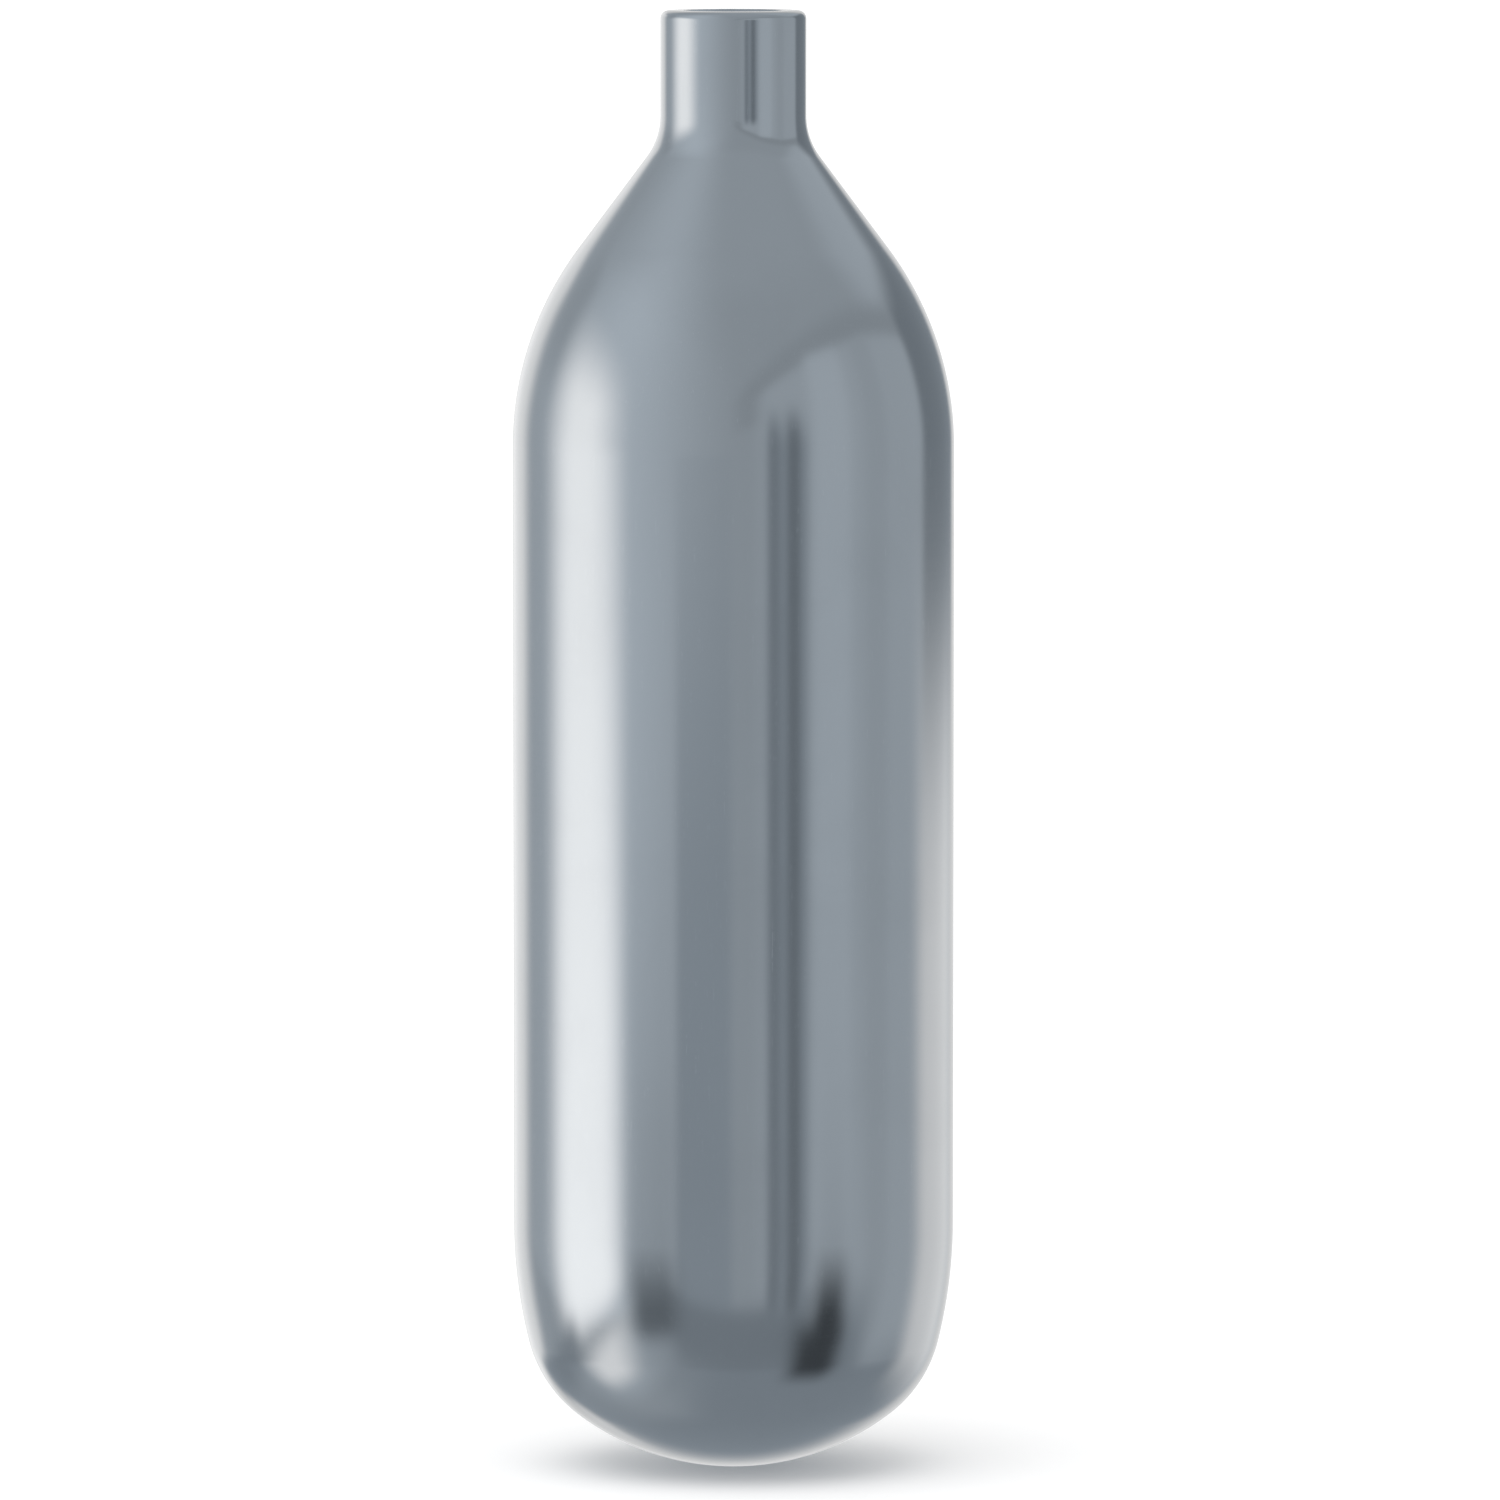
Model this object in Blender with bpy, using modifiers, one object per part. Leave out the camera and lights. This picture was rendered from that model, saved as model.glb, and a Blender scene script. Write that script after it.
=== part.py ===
"""Scuba cylinder without its valve: a seamless steel shell, closed by a vented plug in its neck.

Units are metres and +Z is up. The origin is the lowest point of the round base, on the axis.
Heights of the pieces in the neck are measured from the neck's rim, so they are negative.
"""

import math

import bmesh
import bpy

MM = 0.001

# Shell, outside
HEIGHT = 609.6 * MM
BODY_RADIUS = 184.15 / 2 * MM
NECK_RADIUS = 30.4 * MM
NECK_LENGTH = 43.8 * MM
LIP_RADIUS = 3.5 * MM
NECK_FILLET_RADIUS = 28.4 * MM
CONE_HALF_ANGLE = math.radians(36.8)
SHOULDER_RADIUS = 138.0 * MM
# The base is three tangent arcs. The two angles are the surface's slope where one arc meets the next.
BASE_BLEND_RADIUS = 209.0 * MM
BASE_KNUCKLE_RADIUS = 54.3 * MM
BASE_BLEND_SLOPE = math.radians(76)
BASE_CROWN_SLOPE = math.radians(38)

# Shell, inside
WALL = 5.2 * MM
BASE_THICKNESS = 8.8 * MM
INNER_BLEND_RADIUS = 195.0 * MM
INNER_KNUCKLE_RADIUS = 45.0 * MM
INNER_SHOULDER_TURN = math.radians(50)
BORE_FLARE_RADIUS = 10.0 * MM
BORE_RADIUS = 11.25 * MM

# Gap left between pieces that touch
GAP = 0.3 * MM

# Neck thread and vent thread: crest radius and depth of the male thread, and the pitch
NECK_PITCH = 2.0 * MM
NECK_CREST = 12.28 * MM
NECK_THREAD_DEPTH = 1.08 * MM
NECK_THREAD_BOTTOM = -36.0 * MM
VENT_PITCH = 1.25 * MM
VENT_CREST = 4.0 * MM
VENT_THREAD_DEPTH = 0.65 * MM
THREAD_GAP = 0.35 * MM
# Shares of a pitch: the crest's flat, the root's flat, and each flank between them
CREST_SHARE = 0.125
ROOT_SHARE = 0.25
FLANK_SHARE = (1 - CREST_SHARE - ROOT_SHARE) / 2

# Plug
PLUG_TOP = -2.5 * MM
FLANGE_RADIUS = 19.6 * MM
FLANGE_BOTTOM = -8.0 * MM
FLANGE_CHAMFER = 1.0 * MM
COLLAR_RADIUS = 12.4 * MM
COLLAR_BOTTOM = -10.6 * MM
RELIEF_RADIUS = 10.9 * MM
PLUG_THREAD_TOP = -12.6 * MM
PLUG_THREAD_BOTTOM = -30.6 * MM
PLUG_BOTTOM = -35.3 * MM
SPIGOT_CHAMFER = 0.8 * MM
KEY_SOCKET_FLATS = 14.0 * MM
KEY_SOCKET_BOTTOM = -9.5 * MM

# Neck mouth, cut around the plug
COUNTERBORE_RADIUS = FLANGE_RADIUS + 0.4 * MM
COUNTERBORE_FLOOR = FLANGE_BOTTOM - GAP
COUNTERBORE_CHAMFER = 1.4 * MM
SEAL_RECESS_RADIUS = 16.3 * MM
SEAL_RECESS_FLOOR = -11.0 * MM

# Vent screw, and the well that it works in
WELL_RADIUS = 6.6 * MM
WELL_FLOOR = -19.5 * MM
VENT_HEAD_RADIUS = 6.2 * MM
VENT_HEAD_TOP = -14.0 * MM
VENT_HEAD_BOTTOM = -17.2 * MM
VENT_HEAD_CHAMFER = 0.5 * MM
VENT_THREAD_TOP = -19.8 * MM
VENT_THREAD_BOTTOM = -25.3 * MM
VENT_TIP_RADIUS = 3.1 * MM
VENT_CONE_TOP = -26.1 * MM
VENT_POINT_RADIUS = 1.0 * MM
VENT_KEY_FLATS = 5.0 * MM
VENT_KEY_DEPTH = 3.2 * MM
PASSAGE_RADIUS = 1.5 * MM

# Split ring that stops the vent screw
STOP_GROOVE_RADIUS = 7.6 * MM
STOP_GROOVE_TOP = -10.2 * MM
STOP_GROOVE_BOTTOM = -11.4 * MM
STOP_RING_INNER = 5.2 * MM

# Filter and its split ring, in the plug's lower pocket
POCKET_RADIUS = 7.0 * MM
POCKET_TOP = -30.5 * MM
FILTER_THICKNESS = 2.0 * MM
FILTER_CHAMFER = 0.3 * MM
FILTER_GROOVE_RADIUS = 7.9 * MM
FILTER_GROOVE_TOP = -33.0 * MM
FILTER_GROOVE_BOTTOM = -34.3 * MM
FILTER_RING_INNER = 5.6 * MM
RING_THICKNESS = 0.7 * MM
RING_MOUTH = 3.0 * MM

# Facets: how far one may lie off the shell's true curve, and how many go round
INSIDE_SAG = 0.25 * MM
OUTSIDE_SAG = 0.1 * MM
SHELL_STEPS = 48
PLUG_STEPS = 32
THREAD_STEPS = 20
SEAL_POINTS = 10
MERGE = 0.00001
CUT_PAST = 1.0 * MM

MATERIALS = {
    "polished_steel": ((0.36, 0.39, 0.42), 0.22, 1.0),
    "brass": ((0.72, 0.50, 0.20), 0.30, 1.0),
    "stainless": ((0.55, 0.56, 0.57), 0.30, 1.0),
    "seal_rubber": ((0.02, 0.02, 0.02), 0.60, 0.0),
    "sintered_bronze": ((0.45, 0.27, 0.12), 0.70, 1.0),
}


class Outline:
    """Half of a turned section, drawn with a pen: (radius, height) points on straight runs and arcs.

    A heading of 0 points away from the axis, and a turn to the left is positive. An arc's facets lie
    within the sag of its true curve.
    """

    def __init__(self, radius, height, sag):
        self.points = [(radius, height)]
        self.heading = 0.0
        self.sag = sag

    def line(self, length):
        radius, height = self.points[-1]
        self.to(radius + length * math.cos(self.heading), height + length * math.sin(self.heading))

    def arc(self, arc_radius, turn):
        facet_turn = 2 * math.acos(1 - self.sag / arc_radius)
        pieces = math.ceil(abs(turn) / facet_turn)
        radius, height = self.points[-1]
        side = math.copysign(math.pi / 2, turn)
        centre_radius = radius + arc_radius * math.cos(self.heading + side)
        centre_height = height + arc_radius * math.sin(self.heading + side)
        for piece in range(1, pieces + 1):
            spoke = self.heading - side + turn * piece / pieces
            self.to(
                centre_radius + arc_radius * math.cos(spoke),
                centre_height + arc_radius * math.sin(spoke),
            )
        self.heading += turn

    def to(self, radius, height):
        self.points.append((radius, height))


def collection(name):
    made = bpy.data.collections.new(name)
    bpy.context.scene.collection.children.link(made)
    return made


def material(name):
    made = bpy.data.materials.get(name)
    if made:
        return made
    colour, roughness, metallic = MATERIALS[name]
    made = bpy.data.materials.new(name)
    made.use_nodes = True
    shader = made.node_tree.nodes["Principled BSDF"]
    shader.inputs["Base Color"].default_value = (*colour, 1.0)
    shader.inputs["Roughness"].default_value = roughness
    shader.inputs["Metallic"].default_value = metallic
    made.diffuse_color = (*colour, 1.0)
    return made


def axis_point(name, height, parts, parent=None):
    """An empty on the tank's axis. The pieces that move together hang on one."""
    empty = bpy.data.objects.new(name, None)
    empty.location.z = height
    empty.empty_display_size = BODY_RADIUS
    empty.parent = parent
    parts.objects.link(empty)
    return empty


def turned(name, points, steps, home, parent, finish=None, ring=False):
    """An object spun from (radius, height) points that run down its outer side."""
    mesh = bpy.data.meshes.new(name)
    edges = [(i, i + 1) for i in range(len(points) - 1)]
    if ring:
        edges.append((len(points) - 1, 0))
    mesh.from_pydata([(radius, 0, height) for radius, height in points], edges, [])
    part = bpy.data.objects.new(name, mesh)
    part.parent = parent
    home.objects.link(part)
    spin = part.modifiers.new("turn", "SCREW")
    spin.steps = steps
    spin.render_steps = steps
    spin.use_merge_vertices = True
    spin.merge_threshold = MERGE
    spin.use_smooth_shade = True
    if finish:
        mesh.materials.append(material(finish))
    return part


def as_tool(helper):
    """Marks a helper that a Boolean cuts with or joins, so that it is no part of the tank."""
    helper.hide_render = True
    helper.display_type = "WIRE"
    return helper


def tool_of(name, mesh, home, parent):
    """A helper object from a finished bmesh."""
    made = bpy.data.meshes.new(name)
    mesh.to_mesh(made)
    mesh.free()
    helper = bpy.data.objects.new(name, made)
    helper.parent = parent
    home.objects.link(helper)
    return as_tool(helper)


def boolean(part, operation, tool):
    step = part.modifiers.new(tool.name, "BOOLEAN")
    step.operation = operation
    step.object = tool


def thread(name, top, bottom, crest, depth, pitch, home, parent):
    """A rod with a right-hand thread, cut square at both ends. Rods of one pitch lie on one helix."""
    root = crest - depth
    shares = (ROOT_SHARE, FLANK_SHARE, CREST_SHARE, FLANK_SHARE)
    mesh = bmesh.new()
    verts = []
    for turn in range(math.floor(bottom / pitch) - 1, math.ceil(top / pitch) + 1):
        height = turn * pitch
        for radius, share in zip((root, root, crest, crest), shares):
            verts.append(mesh.verts.new((radius, 0, height)))
            height += share * pitch
    edges = [mesh.edges.new(pair) for pair in zip(verts, verts[1:])]
    bmesh.ops.spin(
        mesh,
        geom=verts + edges,
        cent=(0, 0, 0),
        axis=(0, 0, 1),
        dvec=(0, 0, pitch / THREAD_STEPS),
        angle=2 * math.pi,
        steps=THREAD_STEPS,
    )
    bmesh.ops.remove_doubles(mesh, verts=mesh.verts, dist=MERGE / 10)
    for height, out in ((top, 1), (bottom, -1)):
        cut = bmesh.ops.bisect_plane(
            mesh,
            geom=[*mesh.verts, *mesh.edges, *mesh.faces],
            dist=MERGE / 10,
            plane_co=(0, 0, height),
            plane_no=(0, 0, out),
            clear_outer=True,
        )
        rim = [item for item in cut["geom_cut"] if isinstance(item, bmesh.types.BMEdge)]
        bmesh.ops.contextual_create(mesh, geom=rim)
    bmesh.ops.recalc_face_normals(mesh, faces=mesh.faces)
    return tool_of(name, mesh, home, parent)


def key_socket(name, flats, top, bottom, home, parent):
    """A hexagonal prism that cuts a key's socket from above."""
    mesh = bmesh.new()
    corner_radius = flats / math.sqrt(3)
    prism = bmesh.ops.create_cone(
        mesh,
        cap_ends=True,
        segments=6,
        radius1=corner_radius,
        radius2=corner_radius,
        depth=top + CUT_PAST - bottom,
    )
    bmesh.ops.translate(mesh, verts=prism["verts"], vec=(0, 0, (top + CUT_PAST + bottom) / 2))
    return tool_of(name, mesh, home, parent)


def seal(name, inner, outer, top, bottom, home, parent):
    """An O-ring squashed into the room between two radii and two heights."""
    points = []
    for step in range(SEAL_POINTS):
        angle = -2 * math.pi * step / SEAL_POINTS
        points.append(
            (
                (inner + outer) / 2 + (outer - inner) / 2 * math.cos(angle),
                (top + bottom) / 2 + (top - bottom) / 2 * math.sin(angle),
            )
        )
    turned(name, points, PLUG_STEPS, home, parent, "seal_rubber", ring=True)


def split_ring(name, inner, outer, top, home, cutters, parent):
    """A flat spring ring, open by RING_MOUTH on its +X side."""
    bottom = top - RING_THICKNESS
    corners = [(inner, top), (outer, top), (outer, bottom), (inner, bottom)]
    ring = turned(name, corners, PLUG_STEPS, home, parent, "stainless", ring=True)
    mesh = bmesh.new()
    block = bmesh.ops.create_cube(mesh, size=1.0)
    bmesh.ops.scale(mesh, verts=block["verts"], vec=(outer, RING_MOUTH, 4 * RING_THICKNESS))
    bmesh.ops.translate(mesh, verts=block["verts"], vec=(outer, 0, (top + bottom) / 2))
    boolean(ring, "DIFFERENCE", tool_of(name + "_mouth", mesh, cutters, parent))


class Base:
    """A round base of three tangent arcs: a slow blend from the wall, a knuckle and a crown."""

    def __init__(self, radius, blend, knuckle):
        self.blend, self.knuckle = blend, knuckle
        self.blend_turn = math.pi / 2 - BASE_BLEND_SLOPE
        self.knuckle_turn = BASE_BLEND_SLOPE - BASE_CROWN_SLOPE
        self.crown_turn = BASE_CROWN_SLOPE
        run = blend * (1 - math.sin(BASE_BLEND_SLOPE))
        run += knuckle * (math.sin(BASE_BLEND_SLOPE) - math.sin(BASE_CROWN_SLOPE))
        self.crown = (radius - run) / math.sin(BASE_CROWN_SLOPE)
        self.height = blend * math.cos(BASE_BLEND_SLOPE)
        self.height += knuckle * (math.cos(BASE_CROWN_SLOPE) - math.cos(BASE_BLEND_SLOPE))
        self.height += self.crown * (1 - math.cos(BASE_CROWN_SLOPE))


def shell_outline():
    """The shell's section: inside from the base up to the neck, over the rim, and down outside."""
    slope_run = 1 - math.cos(CONE_HALF_ANGLE)
    slope_drop = math.sin(CONE_HALF_ANGLE)
    cone_run = BODY_RADIUS - NECK_RADIUS - (SHOULDER_RADIUS + NECK_FILLET_RADIUS) * slope_run
    cone_length = cone_run / slope_drop
    round_drop = (SHOULDER_RADIUS + NECK_FILLET_RADIUS) * slope_drop
    shoulder_foot = HEIGHT - NECK_LENGTH - round_drop - cone_length * math.cos(CONE_HALF_ANGLE)
    outer = Base(BODY_RADIUS, BASE_BLEND_RADIUS, BASE_KNUCKLE_RADIUS)
    inner = Base(BODY_RADIUS - WALL, INNER_BLEND_RADIUS, INNER_KNUCKLE_RADIUS)
    flare_radius = BORE_RADIUS + BORE_FLARE_RADIUS * (1 - math.cos(INNER_SHOULDER_TURN))

    pen = Outline(0.0, BASE_THICKNESS, INSIDE_SAG)
    pen.arc(inner.crown, inner.crown_turn)
    pen.arc(inner.knuckle, inner.knuckle_turn)
    pen.arc(inner.blend, inner.blend_turn)
    pen.line(shoulder_foot - BASE_THICKNESS - inner.height)
    pen.arc(SHOULDER_RADIUS - WALL, INNER_SHOULDER_TURN)
    pen.line((pen.points[-1][0] - flare_radius) / math.sin(INNER_SHOULDER_TURN))
    pen.arc(BORE_FLARE_RADIUS, -INNER_SHOULDER_TURN)
    pen.to(BORE_RADIUS, HEIGHT + SEAL_RECESS_FLOOR)
    pen.to(SEAL_RECESS_RADIUS, HEIGHT + SEAL_RECESS_FLOOR)
    pen.to(SEAL_RECESS_RADIUS, HEIGHT + COUNTERBORE_FLOOR)
    pen.to(COUNTERBORE_RADIUS, HEIGHT + COUNTERBORE_FLOOR)
    pen.to(COUNTERBORE_RADIUS, HEIGHT - COUNTERBORE_CHAMFER)
    pen.to(COUNTERBORE_RADIUS + COUNTERBORE_CHAMFER, HEIGHT)
    pen.to(NECK_RADIUS - LIP_RADIUS, HEIGHT)
    pen.heading = 0.0
    pen.sag = OUTSIDE_SAG
    pen.arc(LIP_RADIUS, -math.pi / 2)
    pen.line(NECK_LENGTH - LIP_RADIUS)
    pen.arc(NECK_FILLET_RADIUS, CONE_HALF_ANGLE)
    pen.line(cone_length)
    pen.arc(SHOULDER_RADIUS, -CONE_HALF_ANGLE)
    pen.line(shoulder_foot - outer.height)
    pen.arc(outer.blend, -outer.blend_turn)
    pen.arc(outer.knuckle, -outer.knuckle_turn)
    pen.arc(outer.crown, -outer.crown_turn)
    return pen.points


def cylinder_shell(parts, cutters, base, rim):
    shell = turned("cylinder_shell", shell_outline(), SHELL_STEPS, parts, base, "polished_steel")
    tap = thread(
        "neck_tap",
        SEAL_RECESS_FLOOR + CUT_PAST,
        NECK_THREAD_BOTTOM,
        NECK_CREST + THREAD_GAP,
        NECK_THREAD_DEPTH,
        NECK_PITCH,
        cutters,
        rim,
    )
    boolean(shell, "DIFFERENCE", tap)


def vent_seat():
    """The plug's conical seat, going down: it lies a gap outside the vent screw's cone."""
    offset = GAP * math.sqrt(2)
    bore = VENT_CREST - VENT_THREAD_DEPTH + THREAD_GAP
    cone_top = VENT_CONE_TOP + bore - VENT_TIP_RADIUS - offset
    return [(bore, cone_top), (PASSAGE_RADIUS, cone_top - bore + PASSAGE_RADIUS)]


def plug_hollow():
    """What is bored out of the plug: the vent's well and seat, the passage and the filter's pocket."""
    return [
        (0, PLUG_TOP + CUT_PAST),
        (WELL_RADIUS, PLUG_TOP + CUT_PAST),
        (WELL_RADIUS, STOP_GROOVE_TOP),
        (STOP_GROOVE_RADIUS, STOP_GROOVE_TOP),
        (STOP_GROOVE_RADIUS, STOP_GROOVE_BOTTOM),
        (WELL_RADIUS, STOP_GROOVE_BOTTOM),
        (WELL_RADIUS, WELL_FLOOR),
        (vent_seat()[0][0], WELL_FLOOR),
        *vent_seat(),
        (PASSAGE_RADIUS, POCKET_TOP),
        (POCKET_RADIUS, POCKET_TOP),
        (POCKET_RADIUS, FILTER_GROOVE_TOP),
        (FILTER_GROOVE_RADIUS, FILTER_GROOVE_TOP),
        (FILTER_GROOVE_RADIUS, FILTER_GROOVE_BOTTOM),
        (POCKET_RADIUS, FILTER_GROOVE_BOTTOM),
        (POCKET_RADIUS, PLUG_BOTTOM - CUT_PAST),
        (0, PLUG_BOTTOM - CUT_PAST),
    ]


def neck_plug(parts, cutters, rim):
    """A solid turned plug, which is threaded outside and then bored, tapped and socketed."""
    outside = [
        (0, PLUG_TOP),
        (FLANGE_RADIUS - FLANGE_CHAMFER, PLUG_TOP),
        (FLANGE_RADIUS, PLUG_TOP - FLANGE_CHAMFER),
        (FLANGE_RADIUS, FLANGE_BOTTOM),
        (COLLAR_RADIUS, FLANGE_BOTTOM),
        (COLLAR_RADIUS, COLLAR_BOTTOM),
        (RELIEF_RADIUS, COLLAR_BOTTOM),
        (RELIEF_RADIUS, PLUG_BOTTOM + SPIGOT_CHAMFER),
        (RELIEF_RADIUS - SPIGOT_CHAMFER, PLUG_BOTTOM),
        (0, PLUG_BOTTOM),
    ]
    plug = turned("neck_plug", outside, PLUG_STEPS, parts, rim, "brass")
    neck_thread = thread(
        "plug_thread",
        PLUG_THREAD_TOP,
        PLUG_THREAD_BOTTOM,
        NECK_CREST,
        NECK_THREAD_DEPTH,
        NECK_PITCH,
        cutters,
        rim,
    )
    vent_tap = thread(
        "vent_tap",
        WELL_FLOOR + CUT_PAST,
        vent_seat()[0][1] + GAP,
        VENT_CREST + THREAD_GAP,
        VENT_THREAD_DEPTH,
        VENT_PITCH,
        cutters,
        rim,
    )
    boolean(plug, "UNION", neck_thread)
    boolean(plug, "DIFFERENCE", as_tool(turned("plug_hollow", plug_hollow(), PLUG_STEPS, cutters, rim)))
    boolean(plug, "DIFFERENCE", vent_tap)
    boolean(
        plug,
        "DIFFERENCE",
        key_socket("plug_key", KEY_SOCKET_FLATS, PLUG_TOP, KEY_SOCKET_BOTTOM, cutters, rim),
    )


def vent_screw(parts, cutters, vent):
    """A socket-headed screw with a conical end."""
    shank = VENT_CREST - VENT_THREAD_DEPTH - GAP / 2
    outside = [
        (0, VENT_HEAD_TOP),
        (VENT_HEAD_RADIUS - VENT_HEAD_CHAMFER, VENT_HEAD_TOP),
        (VENT_HEAD_RADIUS, VENT_HEAD_TOP - VENT_HEAD_CHAMFER),
        (VENT_HEAD_RADIUS, VENT_HEAD_BOTTOM),
        (VENT_CREST, VENT_HEAD_BOTTOM),
        (VENT_CREST, WELL_FLOOR + GAP),
        (shank, WELL_FLOOR),
        (shank, VENT_THREAD_BOTTOM),
        (VENT_TIP_RADIUS, VENT_THREAD_BOTTOM - GAP),
        (VENT_TIP_RADIUS, VENT_CONE_TOP),
        (VENT_POINT_RADIUS, VENT_CONE_TOP - VENT_TIP_RADIUS + VENT_POINT_RADIUS),
        (0, VENT_CONE_TOP - VENT_TIP_RADIUS + VENT_POINT_RADIUS),
    ]
    screw = turned("vent_screw", outside, PLUG_STEPS, parts, vent, "stainless")
    vent_thread = thread(
        "vent_thread",
        VENT_THREAD_TOP,
        VENT_THREAD_BOTTOM,
        VENT_CREST,
        VENT_THREAD_DEPTH,
        VENT_PITCH,
        cutters,
        vent,
    )
    boolean(screw, "UNION", vent_thread)
    socket_bottom = VENT_HEAD_TOP - VENT_KEY_DEPTH
    boolean(
        screw,
        "DIFFERENCE",
        key_socket("vent_key", VENT_KEY_FLATS, VENT_HEAD_TOP, socket_bottom, cutters, vent),
    )


def seals(parts, rim, vent):
    seal(
        "neck_o_ring",
        COLLAR_RADIUS + GAP,
        SEAL_RECESS_RADIUS - GAP,
        FLANGE_BOTTOM - GAP,
        SEAL_RECESS_FLOOR + GAP,
        parts,
        rim,
    )
    seal(
        "vent_o_ring",
        VENT_CREST + GAP,
        WELL_RADIUS - GAP,
        VENT_HEAD_BOTTOM - GAP,
        WELL_FLOOR + GAP,
        parts,
        vent,
    )


def filter_and_rings(parts, cutters, rim):
    split_ring(
        "vent_stop_ring",
        STOP_RING_INNER,
        STOP_GROOVE_RADIUS - GAP,
        (STOP_GROOVE_TOP + STOP_GROOVE_BOTTOM + RING_THICKNESS) / 2,
        parts,
        cutters,
        rim,
    )
    split_ring(
        "filter_ring",
        FILTER_RING_INNER,
        FILTER_GROOVE_RADIUS - GAP,
        (FILTER_GROOVE_TOP + FILTER_GROOVE_BOTTOM + RING_THICKNESS) / 2,
        parts,
        cutters,
        rim,
    )
    disc_radius = POCKET_RADIUS - GAP
    disc_top = POCKET_TOP - GAP
    disc_bottom = disc_top - FILTER_THICKNESS
    disc = [
        (0, disc_top),
        (disc_radius - FILTER_CHAMFER, disc_top),
        (disc_radius, disc_top - FILTER_CHAMFER),
        (disc_radius, disc_bottom + FILTER_CHAMFER),
        (disc_radius - FILTER_CHAMFER, disc_bottom),
        (0, disc_bottom),
    ]
    turned("debris_filter", disc, PLUG_STEPS, parts, rim, "sintered_bronze")


def main():
    for old in list(bpy.data.objects):
        bpy.data.objects.remove(old)
    parts = collection("scuba_tank")
    cutters = collection("cutters")
    base = axis_point("tank_axis", 0.0, parts)
    plug_axis = axis_point("plug_axis", HEIGHT, parts, base)
    vent_axis = axis_point("vent_axis", 0.0, parts, plug_axis)
    cylinder_shell(parts, cutters, base, plug_axis)
    neck_plug(parts, cutters, plug_axis)
    vent_screw(parts, cutters, vent_axis)
    seals(parts, plug_axis, vent_axis)
    filter_and_rings(parts, cutters, plug_axis)


main()
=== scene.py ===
"""Looks of a bare polished scuba cylinder and its vented storage plug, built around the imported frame.

Lengths are metres and +Z is up along the tank's axis. The origin is the lowest point of the round base.
"""

import math
from collections import namedtuple

import bmesh
import bpy
from bpy.props import FloatProperty, FloatVectorProperty, IntProperty, PointerProperty
from mathutils import Matrix, Vector


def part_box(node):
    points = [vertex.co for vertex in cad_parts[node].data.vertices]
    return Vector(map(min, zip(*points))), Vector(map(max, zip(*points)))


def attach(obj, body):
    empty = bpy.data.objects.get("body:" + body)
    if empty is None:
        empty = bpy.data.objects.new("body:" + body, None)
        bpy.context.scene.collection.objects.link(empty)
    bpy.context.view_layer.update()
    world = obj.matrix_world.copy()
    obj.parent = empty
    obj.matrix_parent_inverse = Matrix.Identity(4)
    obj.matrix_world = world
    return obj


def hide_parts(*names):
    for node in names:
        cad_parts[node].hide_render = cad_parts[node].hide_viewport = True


bl_info = {
    "name": "Scuba tank looks",
    "version": (1, 0, 0),
    "blender": (4, 5, 0),
    "location": "View3D > Sidebar > Tank",
    "description": "Builds a polished scuba cylinder, its storage plug and the studio around them",
    "category": "Object",
}

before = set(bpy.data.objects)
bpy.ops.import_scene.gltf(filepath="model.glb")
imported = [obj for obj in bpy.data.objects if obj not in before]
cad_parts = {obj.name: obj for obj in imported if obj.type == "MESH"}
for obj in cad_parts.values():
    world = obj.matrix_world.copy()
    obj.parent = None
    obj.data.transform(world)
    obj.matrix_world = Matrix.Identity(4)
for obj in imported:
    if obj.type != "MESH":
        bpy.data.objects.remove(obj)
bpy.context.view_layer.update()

MM = 0.001

# Places that the frame gives
SHELL_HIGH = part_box("cylinder_shell")[1]
PLUG_LOW, PLUG_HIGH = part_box("neck_plug")
VENT_LOW, VENT_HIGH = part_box("vent_screw")
RIM = SHELL_HIGH.z

# Fineness of the meshes
ARC_SAG = 0.008 * MM
LONGEST_FACET = 10.0 * MM
MERGE = 0.01 * MM
SLIVER = 0.001 * MM
EDGE_ANGLE = math.radians(30)
EDGE_SEGMENTS = 3
FLOOR_STEPS = 96
TENT_STEPS = 64

# Machining: how far a cutter reaches past a face, the sides of a key, the depth of a countersink and how
# far it spreads for that depth, and how many of a split ring's widths its lugs are long
CUT_PAST = 1.0 * MM
KEY_SIDES = 6
SINK_DEPTH = 0.5 * MM
SINK_SPREAD = 2
LUG_WIDTHS = 2

# Shares of a thread's pitch: the root's flat, a flank, the crest's flat and the other flank
THREAD_SHARES = (0.25, 0.3125, 0.125, 0.3125)
# Turns that a thread is drawn past its length before its ends are cut square
SPARE_TURNS = 3

# Attribute that marks rounded edges and mould lines for the finishes
EDGE_MARK = "edge"


def length(name, description, default):
    return FloatProperty(
        name=name, description=description, default=default, min=0.0, precision=5, unit="LENGTH"
    )


def angle(name, description, degrees):
    return FloatProperty(
        name=name, description=description, default=math.radians(degrees), unit="ROTATION"
    )


def share(name, description, default):
    return FloatProperty(
        name=name, description=description, default=default, min=0.0, max=1.0, subtype="FACTOR"
    )


def colour(name, description, default):
    return FloatVectorProperty(
        name=name, description=description, default=default, min=0.0, max=1.0, size=3, subtype="COLOR"
    )


def count(name, description, default):
    return IntProperty(name=name, description=description, default=default, min=3)


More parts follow.
